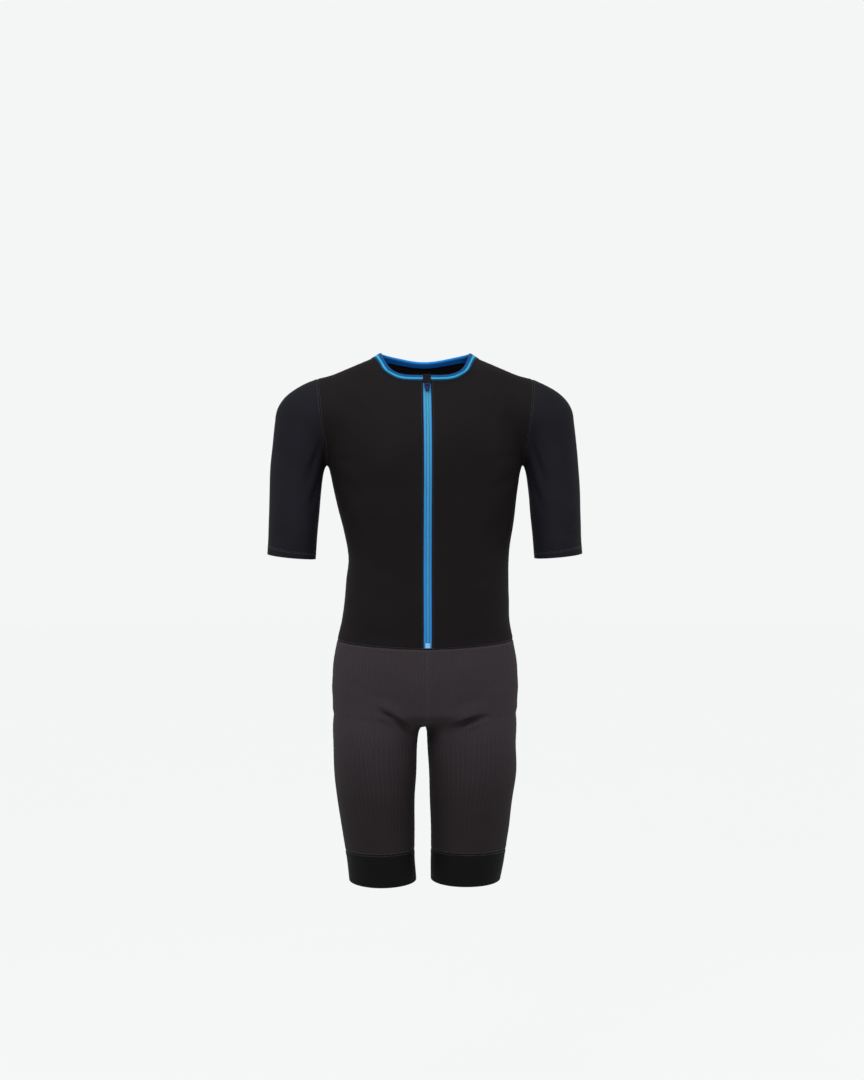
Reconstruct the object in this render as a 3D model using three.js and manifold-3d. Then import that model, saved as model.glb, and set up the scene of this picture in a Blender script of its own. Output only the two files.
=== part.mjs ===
// A short-sleeved triathlon suit, filled out as it is when worn: a knit top with a front zip,
// ribbed shorts sewn to it at the waist, and a wide gripper band round each leg.
// Millimetres, +Z up. The front faces -Y and the wearer's left is +X.
// The origin is in the middle of the neck opening, level with the shoulder seams at the neck,
// because the suit hangs from the shoulders.
import * as THREE from "three";
import { mergeVertices } from "three/addons/utils/BufferGeometryUtils.js";
import Module from "manifold-3d";

// Cloth.
const KNIT = 1.4;
const BAND = 1.8;
const SEAM_GAP = 0.4;

// Heights of the seams that run round the suit.
const WAIST_SEAM = -500;
const WAIST_RISE = 6;
const CROTCH_LEVEL = -570;
const GRIPPER_SEAM = -867;
const GRIPPER_RISE = 6;
const LEG_HEM = -920;
const SLEEVE_HEM_OUTER = -343;
const SLEEVE_HEM_INNER = -352;

// Where the side seams and inseams lie from front to back.
const SIDE_SEAM_Y = 4;

// Neck: the seam is low in front and behind and rises to the shoulder seam at the side,
// later and more squarely the higher its squareness.
const NECK = {
  middleY: -4,
  side: -3,
  front: { level: -43, squareness: 6 },
  back: { level: -15.5, squareness: 2 },
};
const BINDING_RISE = 7;
const BINDING_WALL = 2;

// Armhole: a ring round a middle point, in a plane that leans out towards the shoulder.
const ARMHOLE = { x: 179.5, y: 4, z: -112, lean: 0.105 };

// Grid steps of the panels.
const NECK_STEPS = 5;
const SHOULDER_STEPS = 4;
const QUARTER_STEPS = NECK_STEPS + SHOULDER_STEPS;
const SIDE_STEPS = 11;
const ARMHOLE_STEPS = 8;
const SLEEVE_STEPS = 9;
const RISE_STEPS = 9;
const INSEAM_STEPS = 9;
const GRIPPER_STEPS = 2;

// The figure that fills the suit. A row is a level section: its height, its middle x and y,
// its half width and its reach to the front and to the back of the middle.
const TRUNK = [
  { z: -612, x: 0, y: 0, half: 154, front: 90, back: 116 },
  { z: -574, x: 0, y: 0, half: 161, front: 99, back: 122 },
  { z: -539, x: 0, y: 0, half: 161.5, front: 102, back: 119 },
  { z: -495, x: 0, y: 0, half: 154, front: 102, back: 110 },
  { z: -460, x: 1, y: 0, half: 147, front: 101, back: 103 },
  { z: -425, x: 3, y: 0, half: 144, front: 99, back: 96 },
  { z: -390, x: 4, y: 0, half: 142, front: 97, back: 90 },
  { z: -350, x: 6, y: 0, half: 140, front: 96, back: 87 },
  { z: -303, x: 5, y: 0, half: 147, front: 100, back: 88 },
  { z: -268, x: 3, y: 0, half: 154, front: 104, back: 92 },
  { z: -233, x: 1, y: 0, half: 160, front: 108, back: 97 },
  { z: -190, x: 0, y: 0, half: 167, front: 112, back: 102 },
  { z: -150, x: 0, y: 0, half: 171, front: 109, back: 105 },
  { z: -105, x: 0, y: 0, half: 168, front: 97, back: 102 },
  { z: -65, x: 0, y: 0, half: 145, front: 78, back: 88 },
  { z: -32, x: 0, y: 0, half: 95, front: 52, back: 62 },
];
const NECK_COLUMN = [
  { z: -90, x: 0, y: 2, half: 66, front: 58, back: 60 },
  { z: 60, x: 0, y: -16, half: 66, front: 58, back: 58 },
];
// The legs differ a little in stance, so each has its own middle and half width.
const LEGS = [
  { z: -925, right: -75, left: 71, halfRight: 59, halfLeft: 61, y: -1, front: 62, back: 64 },
  { z: -880, right: -79, left: 75, halfRight: 60, halfLeft: 65, y: -1, front: 66, back: 68 },
  { z: -828, right: -83, left: 79, halfRight: 64, halfLeft: 69, y: 0, front: 73, back: 76 },
  { z: -775, right: -87, left: 81, halfRight: 68, halfLeft: 73, y: 0, front: 80, back: 83 },
  { z: -731, right: -88, left: 84, halfRight: 72, halfLeft: 77, y: 1, front: 85, back: 89 },
  { z: -680, right: -88, left: 82, halfRight: 73.5, halfLeft: 78, y: 2, front: 88, back: 96 },
  { z: -640, right: -86, left: 82, halfRight: 76, halfLeft: 79, y: 3, front: 86, back: 101 },
  { z: -590, right: -82, left: 80, halfRight: 73, halfLeft: 75, y: 4, front: 76, back: 96 },
];
const ARMS = [
  { z: -360, x: 234, y: -8, half: 42.5, front: 46, back: 46 },
  { z: -320, x: 231, y: -6, half: 42.5, front: 47, back: 47 },
  { z: -285, x: 229, y: -3, half: 43.5, front: 49, back: 49 },
  { z: -233, x: 226, y: 0, half: 45, front: 51, back: 51 },
  { z: -198, x: 223, y: 2, half: 46.5, front: 52, back: 53 },
  { z: -150, x: 215, y: 4, half: 50, front: 54, back: 55 },
  { z: -110, x: 206, y: 4, half: 54, front: 54, back: 56 },
];
const SHOULDER = {
  inner: new THREE.Vector3(50, 6, -34),
  outer: new THREE.Vector3(158, 4, -88),
  innerRadius: 44,
  outerRadius: 52,
};
// How far each end of a form is rounded over, and how softly the forms run together.
const TRUNK_CAP = { low: 28, high: 16 };
const LIMB_CAP = { low: 40, high: 52 };
const TRUNK_SQUARENESS = 2.2;
const LIMB_SQUARENESS = 2;
const NECK_BLEND = 26;
const SHOULDER_BLEND = 36;
const CROTCH_BLEND = 12;
const HIP_BLEND = 24;
const ARMPIT_BLEND = { soft: 44, tight: 16, softZ: -95, tightZ: -170 };

// The core of the figure, which the panels' points are reached from.
const CORE = {
  waistHalf: 72,
  shoulderHalf: 150,
  chestZ: -215,
  shoulderZ: -110,
  neckTop: -72,
  shoulderTop: -100,
  seatZ: -635,
  forkLow: -672,
  forkHigh: -650,
};

// Zip.
const ZIP_HALF_GAP = 7;
const TAPE_OUTER_X = 13;
const TAPE_WALL = 1;
const CHAIN_HALF = 1.9;
const CHAIN_WALL = 2.4;
const ZIP_TOP = -46;
const ZIP_BOTTOM = -498;
const ZIP_ROWS = 19;
const STOP = { half: 4.5, low: -497.5, high: -489, lift: 1.3 };
const LAYER_GAP = 0.45;

// The garage is folded over the top of the zip: the path of its outer and its inner face, up
// the front, over the edge and down behind.
const GARAGE = {
  half: 6.6,
  path: [
    { z: -50, outer: 2.2, innerZ: -50, inner: 1.1 },
    { z: -43, outer: 2.3, innerZ: -43, inner: 1.2 },
    { z: -36, outer: 2.1, innerZ: -36.7, inner: 1.2 },
    { z: -33.2, outer: -1.6, innerZ: -34.7, inner: -1.6 },
    { z: -36, outer: -5.4, innerZ: -37.5, inner: -4.2 },
    { z: -46, outer: -5.4, innerZ: -46, inner: -4.2 },
  ],
};

// Slider and pull tab, in a frame of their own: x across, depth out from the cloth, z up it.
const SLIDER = {
  z: -55,
  lift: 0.4,
  half: 5.4,
  throat: 4.2,
  length: 9.5,
  thick: 2,
  postHalf: 0.8,
  postRadius: 2.2,
  holeRadius: 1.1,
  pinRadius: 0.75,
  pinUp: 1.6,
};
const TAB = { armInner: 1.15, half: 3.8, thick: 1.3, drop: 12.5, windowDrop: 3.6 };

const vector = (x, y, z) => new THREE.Vector3(x, y, z);

// Reads one column of a table of sections at a height, by a curve through its rows.
function read(rows, column, z) {
  let i = 0;
  while (i < rows.length - 2 && z > rows[i + 1].z) i += 1;
  const at = (k) => rows[Math.min(Math.max(k, 0), rows.length - 1)];
  const slope = (k) => (at(k + 1)[column] - at(k - 1)[column]) / (at(k + 1).z - at(k - 1).z);
  const span = rows[i + 1].z - rows[i].z;
  const t = THREE.MathUtils.clamp((z - rows[i].z) / span, 0, 1);
  const rise = t * t * (3 - 2 * t);
  return (
    rows[i][column] * (1 - rise) +
    rows[i + 1][column] * rise +
    span * (slope(i) * t * (1 - t) * (1 - t) - slope(i + 1) * t * t * (1 - t))
  );
}

// Distance from a point to an upright form with rounded ends, measured along the ray
// from its middle: negative inside.
function formDistance(p, section, low, high, cap, squareness) {
  const z = THREE.MathUtils.clamp(p.z, low, high);
  const s = section(z);
  const dx = p.x - s.x;
  const dy = p.y - s.y;
  const dz = p.z - z;
  const across = Math.abs(dx / s.half) ** squareness;
  const through = Math.abs(dy / (dy < 0 ? s.front : s.back)) ** squareness;
  const level = (across + through) ** (1 / squareness);
  const size = Math.hypot(level, dz / (dz < 0 ? cap.low : cap.high));
  return size === 0 ? -s.half : Math.hypot(dx, dy, dz) * (1 - 1 / size);
}

function tableDistance(p, rows, cap, squareness) {
  const section = (z) => ({
    x: read(rows, "x", z),
    y: read(rows, "y", z),
    half: read(rows, "half", z),
    front: read(rows, "front", z),
    back: read(rows, "back", z),
  });
  return formDistance(p, section, rows[0].z, rows[rows.length - 1].z, cap, squareness);
}

function legDistance(p, side) {
  const section = (z) => ({
    x: read(LEGS, side > 0 ? "left" : "right", z),
    y: read(LEGS, "y", z),
    half: read(LEGS, side > 0 ? "halfLeft" : "halfRight", z),
    front: read(LEGS, "front", z),
    back: read(LEGS, "back", z),
  });
  const top = LEGS[LEGS.length - 1].z;
  return formDistance(p, section, LEGS[0].z, top, LIMB_CAP, LIMB_SQUARENESS);
}

// Distance to a rounded bar that runs from the neck to the point of the shoulder.
function shoulderDistance(p) {
  const { inner, outer, innerRadius, outerRadius } = SHOULDER;
  const line = outer.clone().sub(inner);
  const t = THREE.MathUtils.clamp(p.clone().sub(inner).dot(line) / line.lengthSq(), 0, 1);
  const radius = innerRadius + t * (outerRadius - innerRadius);
  return p.distanceTo(inner.clone().addScaledVector(line, t)) - radius;
}

function smoothUnion(a, b, blend) {
  const h = Math.max(blend - Math.abs(a - b), 0) / blend;
  return Math.min(a, b) - (h * h * blend) / 4;
}

// The whole figure: negative inside, zero on the cloth's outer face.
function figure(p) {
  const mirrored = vector(Math.abs(p.x), p.y, p.z);
  const column = tableDistance(p, NECK_COLUMN, LIMB_CAP, LIMB_SQUARENESS);
  let d = tableDistance(p, TRUNK, TRUNK_CAP, TRUNK_SQUARENESS);
  d = smoothUnion(d, shoulderDistance(mirrored), SHOULDER_BLEND);
  d = smoothUnion(d, column, NECK_BLEND);
  const legs = smoothUnion(legDistance(p, 1), legDistance(p, -1), CROTCH_BLEND);
  d = smoothUnion(d, legs, HIP_BLEND);
  const low = THREE.MathUtils.smoothstep(p.z, ARMPIT_BLEND.tightZ, ARMPIT_BLEND.softZ);
  const blend = THREE.MathUtils.lerp(ARMPIT_BLEND.tight, ARMPIT_BLEND.soft, low);
  return smoothUnion(d, tableDistance(mirrored, ARMS, LIMB_CAP, LIMB_SQUARENESS), blend);
}

function gradient(p) {
  const h = 0.5;
  const along = (x, y, z) =>
    (figure(vector(p.x + x, p.y + y, p.z + z)) - figure(vector(p.x - x, p.y - y, p.z - z))) / (2 * h);
  return vector(along(h, 0, 0), along(0, h, 0), along(0, 0, h));
}

const outward = (p) => gradient(p).normalize();

// The first point of the cloth's outer face along a ray from a point inside, which it keeps
// as its source.
function reach(from, direction) {
  const ray = direction.clone().normalize();
  const at = (t) => from.clone().addScaledVector(ray, t);
  let far = 4;
  while (figure(at(far)) < 0 && far < 400) far += 4;
  let near = far - 4;
  for (let step = 0; step < 24; step += 1) {
    const middle = (near + far) / 2;
    if (figure(at(middle)) < 0) near = middle;
    else far = middle;
  }
  return Object.assign(at(far), { source: from.clone() });
}

// The point of the cloth's outer face at a share of the way between two others.
function between(a, b, share) {
  const source = a.source.clone().lerp(b.source, share);
  return reach(source, a.clone().lerp(b, share).sub(source));
}

// A list of points from 0 to 1 in equal steps, each made by a function of the share.
const points = (steps, make) => Array.from({ length: steps + 1 }, (_, i) => make(i / steps));

const join = (...runs) => runs.reduce((all, run) => all.concat(all.length ? run.slice(1) : run), []);

// Seams. Each takes the wearer's side, 1 for the left and -1 for the right.
const frontAt = (x, z) => reach(vector(x, 0, z), vector(0, -1, 0));

function neckSeam(degrees, rise) {
  const a = THREE.MathUtils.degToRad(degrees);
  const { level, squareness } = Math.cos(a) > 0 ? NECK.front : NECK.back;
  const z = lerp(level, NECK.side, Math.abs(Math.sin(a)) ** squareness) + rise;
  return reach(vector(0, NECK.middleY, z), vector(Math.sin(a), -Math.cos(a), 0));
}

// Degrees run from the top of the shoulder over the front to the armpit and up the back.
function armhole(side, degrees) {
  const a = THREE.MathUtils.degToRad(degrees);
  const middle = vector(side * ARMHOLE.x, ARMHOLE.y, ARMHOLE.z);
  const up = vector(side * ARMHOLE.lean, 0, 1).normalize();
  return reach(middle, up.multiplyScalar(Math.cos(a)).add(vector(0, -Math.sin(a), 0)));
}

const trunkX = (z) => read(TRUNK, "x", z);

function sideSeam(side, z) {
  return reach(vector(trunkX(z), SIDE_SEAM_Y, z), vector(side, 0, 0));
}

// The waist seam rises a little towards the sides.
const waistHeight = (degrees) =>
  WAIST_SEAM + WAIST_RISE * Math.sin(THREE.MathUtils.degToRad(degrees)) ** 2;

// Degrees run round the waist from the front to the wearer's side and on to the back.
function waistRing(side, degrees) {
  const a = THREE.MathUtils.degToRad(degrees);
  const middle = vector(trunkX(WAIST_SEAM), SIDE_SEAM_Y, waistHeight(degrees));
  return reach(middle, vector(side * Math.sin(a), -Math.cos(a), 0));
}

function legMiddle(side, z) {
  return vector(read(LEGS, side > 0 ? "left" : "right", z), SIDE_SEAM_Y, z);
}

function legRing(side, degrees, z) {
  const a = THREE.MathUtils.degToRad(degrees);
  return reach(legMiddle(side, z), vector(side * Math.sin(a), -Math.cos(a), 0));
}

const gripperHeight = (degrees) =>
  GRIPPER_SEAM + GRIPPER_RISE * Math.cos(THREE.MathUtils.degToRad(degrees));

// The seam down the middle of the front or back of the shorts, to the crotch.
function middleSeam(facing, share) {
  const straight = 0.5;
  if (share < straight) {
    const z = THREE.MathUtils.lerp(WAIST_SEAM, CROTCH_LEVEL, share / straight);
    return reach(vector(0, SIDE_SEAM_Y, z), vector(0, facing, 0));
  }
  const a = ((share - straight) / (1 - straight)) * (Math.PI / 2);
  return reach(vector(0, SIDE_SEAM_Y, CROTCH_LEVEL), vector(0, facing * Math.cos(a), -Math.sin(a)));
}

// A point in the core of the trunk, close behind a point of its cloth.
function trunkCore(p) {
  const high = THREE.MathUtils.smoothstep(p.z, CORE.chestZ, CORE.shoulderZ);
  const half = THREE.MathUtils.lerp(CORE.waistHalf, CORE.shoulderHalf, high);
  const x = THREE.MathUtils.clamp(p.x, -half, half);
  const top = THREE.MathUtils.lerp(CORE.neckTop, CORE.shoulderTop, Math.abs(x) / CORE.shoulderHalf);
  return vector(x, SIDE_SEAM_Y, Math.min(p.z, top));
}

// The same for one side of the shorts, whose core moves over into the leg below the fork.
function shortsCore(side) {
  return (p) => {
    const low = 1 - THREE.MathUtils.smoothstep(p.z, CORE.forkLow, CORE.forkHigh);
    const hip = THREE.MathUtils.clamp(side * p.x, 0, CORE.waistHalf) * side;
    const x = THREE.MathUtils.lerp(hip, legMiddle(side, p.z).x, low);
    const z = THREE.MathUtils.lerp(Math.max(p.z, CORE.seatZ), p.z, low);
    return vector(x, SIDE_SEAM_Y, z);
  };
}

// A grid of points on the cloth's outer face between four edges. The edges low and high run
// the same way, and so do start and end, which join them. Each point inside is reached from
// the core behind it.
function patch(low, high, start, end, core) {
  const columns = low.length - 1;
  const rows = start.length - 1;
  const mix = (a, b, t) => a.clone().lerp(b, t);
  const blend = (i, j) => {
    const u = i / columns;
    const v = j / rows;
    const lowCorners = mix(low[0], low[columns], u);
    const highCorners = mix(high[0], high[columns], u);
    return mix(low[i], high[i], v)
      .add(mix(start[j], end[j], u))
      .sub(mix(lowCorners, highCorners, v));
  };
  const inside = (i, j) => {
    const point = blend(i, j);
    const source = core(point);
    return reach(source, point.sub(source));
  };
  return start.map((_, j) => {
    if (j === 0) return low;
    if (j === rows) return high;
    return low.map((__, i) => {
      if (i === 0) return start[j];
      return i === columns ? end[j] : inside(i, j);
    });
  });
}

// Draws the edge of a grid in by half the gap of a seam.
function draw(grid, edges) {
  const rows = grid.length - 1;
  const columns = grid[0].length - 1;
  const moved = grid.map((row) => row.map((p) => p.clone()));
  const pull = (j, i, towardsJ, towardsI) => {
    const way = grid[towardsJ][towardsI].clone().sub(grid[j][i]).normalize();
    moved[j][i].addScaledVector(way, SEAM_GAP / 2);
  };
  for (let i = 0; i <= columns; i += 1) {
    if (edges.includes("low")) pull(0, i, 1, i);
    if (edges.includes("high")) pull(rows, i, rows - 1, i);
  }
  for (let j = 0; j <= rows; j += 1) {
    if (edges.includes("start")) pull(j, 0, j, 1);
    if (edges.includes("end")) pull(j, columns, j, columns - 1);
  }
  return moved;
}

// A closed wall between an outer and an inner grid. A looped grid's last column meets its first.
function wall(outer, inner, looped) {
  const rows = outer.length;
  const columns = outer[0].length;
  const positions = [];
  outer.flat().concat(inner.flat()).forEach((p) => positions.push(p.x, p.y, p.z));
  const at = (layer, j, i) => layer * rows * columns + j * columns + (i % columns);
  const faces = [];
  const quad = (a, b, c, d) => faces.push(a, b, c, a, c, d);
  const across = looped ? columns : columns - 1;
  for (let j = 0; j < rows - 1; j += 1) {
    for (let i = 0; i < across; i += 1) {
      quad(at(0, j, i), at(0, j, i + 1), at(0, j + 1, i + 1), at(0, j + 1, i));
      quad(at(1, j, i), at(1, j + 1, i), at(1, j + 1, i + 1), at(1, j, i + 1));
    }
  }
  for (let i = 0; i < across; i += 1) {
    quad(at(0, 0, i), at(1, 0, i), at(1, 0, i + 1), at(0, 0, i + 1));
    quad(at(0, rows - 1, i), at(0, rows - 1, i + 1), at(1, rows - 1, i + 1), at(1, rows - 1, i));
  }
  if (!looped) {
    for (let j = 0; j < rows - 1; j += 1) {
      quad(at(0, j, 0), at(0, j + 1, 0), at(1, j + 1, 0), at(1, j, 0));
      const last = columns - 1;
      quad(at(0, j, last), at(1, j, last), at(1, j + 1, last), at(0, j + 1, last));
    }
  }
  const geometry = new THREE.BufferGeometry();
  geometry.setAttribute("position", new THREE.Float32BufferAttribute(positions, 3));
  geometry.setIndex(faces);
  return facingOut(geometry);
}

// Turns every face round if the geometry's volume comes out negative.
function facingOut(geometry) {
  const p = geometry.getAttribute("position");
  const index = geometry.index.array;
  const corner = (k) => vector().fromBufferAttribute(p, index[k]);
  let volume = 0;
  for (let k = 0; k < index.length; k += 3) {
    volume += corner(k).dot(corner(k + 1).cross(corner(k + 2))) / 6;
  }
  if (volume < 0) {
    for (let k = 0; k < index.length; k += 3) {
      const second = index[k + 1];
      index[k + 1] = index[k + 2];
      index[k + 2] = second;
    }
  }
  geometry.computeVertexNormals();
  return geometry;
}

const offset = (grid, distance) =>
  grid.map((row) => row.map((p) => p.clone().addScaledVector(outward(p), distance)));

const cloth = (grid, thickness, looped = false, lift = 0) =>
  wall(offset(grid, lift), offset(grid, lift - thickness), looped);

const suit = new THREE.Group();
const finish = (color, roughness, metalness = 0) =>
  new THREE.MeshStandardMaterial({ color, roughness, metalness });
const KNIT_BLACK = finish(0x1c1a1d, 0.85);
const RIB_GREY = finish(0x2e2b2f, 0.85);
const BAND_BLACK = finish(0x1a1a1d, 0.75);
const BLUE = finish(0x1d8fd0, 0.7);
const NAVY = finish(0x1b2150, 0.45);
const PALE = finish(0x9ccbe6, 0.4);

function add(name, geometry, material) {
  const mesh = new THREE.Mesh(geometry, material);
  mesh.name = name;
  suit.add(mesh);
  return mesh;
}

const nameOf = (side) => (side > 0 ? "left" : "right");
const lerp = THREE.MathUtils.lerp;

function shoulderSeam(side) {
  const neck = neckSeam(side * 90, 0);
  const tip = armhole(side, 0);
  return points(SHOULDER_STEPS, (t) => between(neck, tip, t));
}

// The side seam from the waist, and the armhole from the armpit, over the front or the back.
function sideEdge(side, overFront) {
  const armpit = armhole(side, 180);
  const sweep = overFront ? -180 : 180;
  return join(
    points(SIDE_STEPS, (t) => (t < 1 ? sideSeam(side, lerp(waistHeight(90), armpit.z, t)) : armpit)),
    points(ARMHOLE_STEPS, (t) => armhole(side, 180 + sweep * t)),
  );
}

// Degrees round the neck at which the seam is a distance across from the middle.
function neckDegreesAt(x) {
  let degrees = 0;
  for (let step = 0; step < 8; step += 1) {
    const seam = neckSeam(degrees, 0);
    degrees = THREE.MathUtils.radToDeg(Math.asin(x / Math.hypot(seam.x, seam.y - NECK.middleY)));
  }
  return degrees;
}

function frontPanel(side) {
  const zipX = side * ZIP_HALF_GAP;
  const neckStart = neckDegreesAt(ZIP_HALF_GAP);
  const neckCorner = neckSeam(side * neckStart, 0);
  const low = points(QUARTER_STEPS, (t) => waistRing(side, 90 * t));
  low[0] = frontAt(zipX, WAIST_SEAM);
  const high = join(
    points(NECK_STEPS, (t) => neckSeam(side * lerp(neckStart, 90, t), 0)),
    shoulderSeam(side),
  );
  const start = points(SIDE_STEPS + ARMHOLE_STEPS, (t) =>
    t < 1 ? frontAt(zipX, lerp(WAIST_SEAM, neckCorner.z, t)) : neckCorner,
  );
  return patch(low, high, start, sideEdge(side, true), trunkCore);
}

function backPanel() {
  const low = join(
    points(QUARTER_STEPS, (t) => waistRing(-1, 90 + 90 * t)),
    points(QUARTER_STEPS, (t) => waistRing(1, 180 - 90 * t)),
  );
  const high = join(
    shoulderSeam(-1).reverse(),
    points(2 * NECK_STEPS, (t) => neckSeam(-90 - 180 * t, 0)),
    shoulderSeam(1),
  );
  return patch(low, high, sideEdge(-1, false), sideEdge(1, false), trunkCore);
}

// Degrees run round the sleeve as they do round the armhole: outside, front, inside, back.
function sleeveHem(side, degrees) {
  const a = THREE.MathUtils.degToRad(degrees);
  const z = lerp(SLEEVE_HEM_INNER, SLEEVE_HEM_OUTER, (1 + Math.cos(a)) / 2);
  const middle = vector(side * read(ARMS, "x", z), read(ARMS, "y", z), z);
  return reach(middle, vector(side * Math.cos(a), -Math.sin(a), 0));
}

function sleevePanel(side) {
  const columns = 2 * ARMHOLE_STEPS;
  return points(SLEEVE_STEPS, (t) =>
    points(columns, (u) => {
      const top = armhole(side, 360 * u);
      if (t === 0) return top;
      const hem = sleeveHem(side, 360 * u);
      return t === 1 ? hem : between(top, hem, t);
    }).slice(0, columns),
  );
}

// The front or back half of one leg of the shorts, from the gripper up to the waist.
function shortsPanel(side, facing) {
  const turn = facing < 0 ? (t) => lerp(-90, 90, t) : (t) => lerp(-90, -270, t);
  const waist = facing < 0 ? (t) => 90 * t : (t) => 180 - 90 * t;
  const crotch = middleSeam(facing, 1);
  const low = points(QUARTER_STEPS, (t) => legRing(side, turn(t), gripperHeight(turn(t))));
  const high = points(QUARTER_STEPS, (t) => waistRing(side, waist(t)));
  const start = join(
    points(INSEAM_STEPS, (t) => (t < 1 ? legRing(side, -90, lerp(low[0].z, crotch.z, t)) : crotch)),
    points(RISE_STEPS, (t) => middleSeam(facing, 1 - t)),
  );
  const end = points(INSEAM_STEPS + RISE_STEPS, (t) => {
    const z = lerp(low[QUARTER_STEPS].z, waistHeight(90), t);
    return z < TRUNK[0].z ? legRing(side, 90, z) : sideSeam(side, z);
  });
  start[start.length - 1] = high[0];
  end[end.length - 1] = high[QUARTER_STEPS];
  return patch(low, high, start, end, shortsCore(side));
}

function gripperPanel(side) {
  const columns = 2 * QUARTER_STEPS;
  return points(GRIPPER_STEPS, (t) =>
    points(columns, (u) => {
      const degrees = lerp(-90, 270, u);
      return legRing(side, degrees, lerp(gripperHeight(degrees), LEG_HEM, t));
    }).slice(0, columns),
  );
}

// A fold of cloth round the neck, a little fuller along its middle than at its edges.
function bindingGeometry() {
  const first = neckDegreesAt(ZIP_HALF_GAP);
  const turns = join(
    points(NECK_STEPS, (t) => lerp(first, 90, t)),
    points(2 * NECK_STEPS, (t) => lerp(90, 270, t)),
    points(NECK_STEPS, (t) => lerp(270, 360 - first, t)),
  );
  const rows = [
    { share: 0, lift: 0.1 },
    { share: 0.3, lift: 0.8 },
    { share: 0.7, lift: 0.8 },
    { share: 1, lift: 0 },
  ];
  const grid = rows.map((row) => turns.map((turn) => neckSeam(turn, BINDING_RISE * row.share)));
  const drawn = draw(grid, ["low"]);
  const outer = drawn.map((row, j) => offset([row], rows[j].lift)[0]);
  const inner = drawn.map((row, j) => offset([row], -BINDING_WALL + rows[j].lift / 4)[0]);
  return wall(outer, inner, false);
}

// A strip of the front between two distances across, from one height to another.
function frontStrip(fromX, toX, fromZ, toZ, rows) {
  return points(rows, (t) => [fromX, toX].map((x) => frontAt(x, lerp(fromZ, toZ, t))));
}

function garageGeometry() {
  const across = points(3, (t) => lerp(-GARAGE.half, GARAGE.half, t));
  const face = (zOf, liftOf) =>
    GARAGE.path.map((step) =>
      across.map((x) => {
        const p = frontAt(x, zOf(step));
        return p.addScaledVector(outward(p), liftOf(step));
      }),
    );
  return wall(
    face((step) => step.z, (step) => step.outer),
    face((step) => step.innerZ, (step) => step.inner),
    false,
  );
}

// Extrudes an outline of the slider's own x and z, from one depth out to another.
function plate(outline, fromDepth, toDepth) {
  const shape = new THREE.Shape(outline.map(([x, z]) => new THREE.Vector2(x, z)));
  const geometry = new THREE.ExtrudeGeometry(shape, { depth: toDepth - fromDepth, bevelEnabled: false });
  geometry.rotateX(Math.PI / 2);
  geometry.translate(0, -fromDepth, 0);
  return geometry;
}

const wasm = await Module();
wasm.setup();

function solid(geometry) {
  const bare = geometry.index ? geometry.toNonIndexed() : geometry.clone();
  bare.deleteAttribute("normal");
  bare.deleteAttribute("uv");
  const merged = mergeVertices(bare, 1e-4);
  return new wasm.Manifold(
    new wasm.Mesh({
      numProp: 3,
      vertProperties: new Float32Array(merged.attributes.position.array),
      triVerts: new Uint32Array(merged.index.array),
    }),
  );
}

function geometryOf(made) {
  const mesh = made.getMesh();
  const geometry = new THREE.BufferGeometry();
  geometry.setAttribute("position", new THREE.BufferAttribute(mesh.vertProperties, 3));
  geometry.setIndex(new THREE.BufferAttribute(mesh.triVerts, 1));
  geometry.computeVertexNormals();
  return geometry;
}

const POST_SINK = 0.4;
const PIN_DEPTH = SLIDER.thick + SLIDER.postRadius - POST_SINK;
const EYE_SIDES = 20;
const PIN_SIDES = 16;
const SHOULDER_DROP = 1.5;
const TAB_CORNER = 1.2;
const WINDOW_RISE = 1;

// A round bar across the suit, through the pin's place.
function crossBar(radius, half, sides) {
  const bar = new THREE.CylinderGeometry(radius, radius, 2 * half, sides);
  bar.rotateZ(Math.PI / 2);
  bar.translate(0, -PIN_DEPTH, SLIDER.pinUp);
  return bar;
}

// The slider's body tapers downwards, and a post with an eye stands on it.
function sliderGeometry() {
  const { half, throat, length, thick, postHalf, postRadius, holeRadius, pinUp } = SLIDER;
  const top = length / 2;
  const outline = [
    [-throat, top],
    [throat, top],
    [half, top - SHOULDER_DROP],
    [throat, -top],
    [-throat, -top],
    [-half, top - SHOULDER_DROP],
  ];
  const foot = new THREE.BoxGeometry(2 * postHalf, PIN_DEPTH, 2 * postRadius);
  foot.translate(0, -PIN_DEPTH / 2, pinUp);
  return geometryOf(
    solid(plate(outline, 0, thick))
      .add(solid(foot))
      .add(solid(crossBar(postRadius, postHalf, EYE_SIDES)))
      .subtract(solid(crossBar(holeRadius, 2 * postHalf, EYE_SIDES))),
  );
}

// The tab hangs from a pin through the eye, with a window for the post.
function tabGeometry() {
  const { armInner, half, thick, drop, windowDrop } = TAB;
  const low = SLIDER.pinUp - drop;
  const outline = [
    [-half, SLIDER.pinUp],
    [-half, low + TAB_CORNER],
    [-half + TAB_CORNER, low],
    [half - TAB_CORNER, low],
    [half, low + TAB_CORNER],
    [half, SLIDER.pinUp],
  ];
  const window = [
    [-armInner, SLIDER.pinUp + WINDOW_RISE],
    [-armInner, SLIDER.pinUp - windowDrop],
    [armInner, SLIDER.pinUp - windowDrop],
    [armInner, SLIDER.pinUp + WINDOW_RISE],
  ];
  const blade = solid(plate(outline, PIN_DEPTH - thick / 2, PIN_DEPTH + thick / 2));
  const gap = solid(plate(window, PIN_DEPTH - thick, PIN_DEPTH + thick));
  return geometryOf(blade.subtract(gap).add(solid(crossBar(SLIDER.pinRadius, half, PIN_SIDES))));
}

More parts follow.
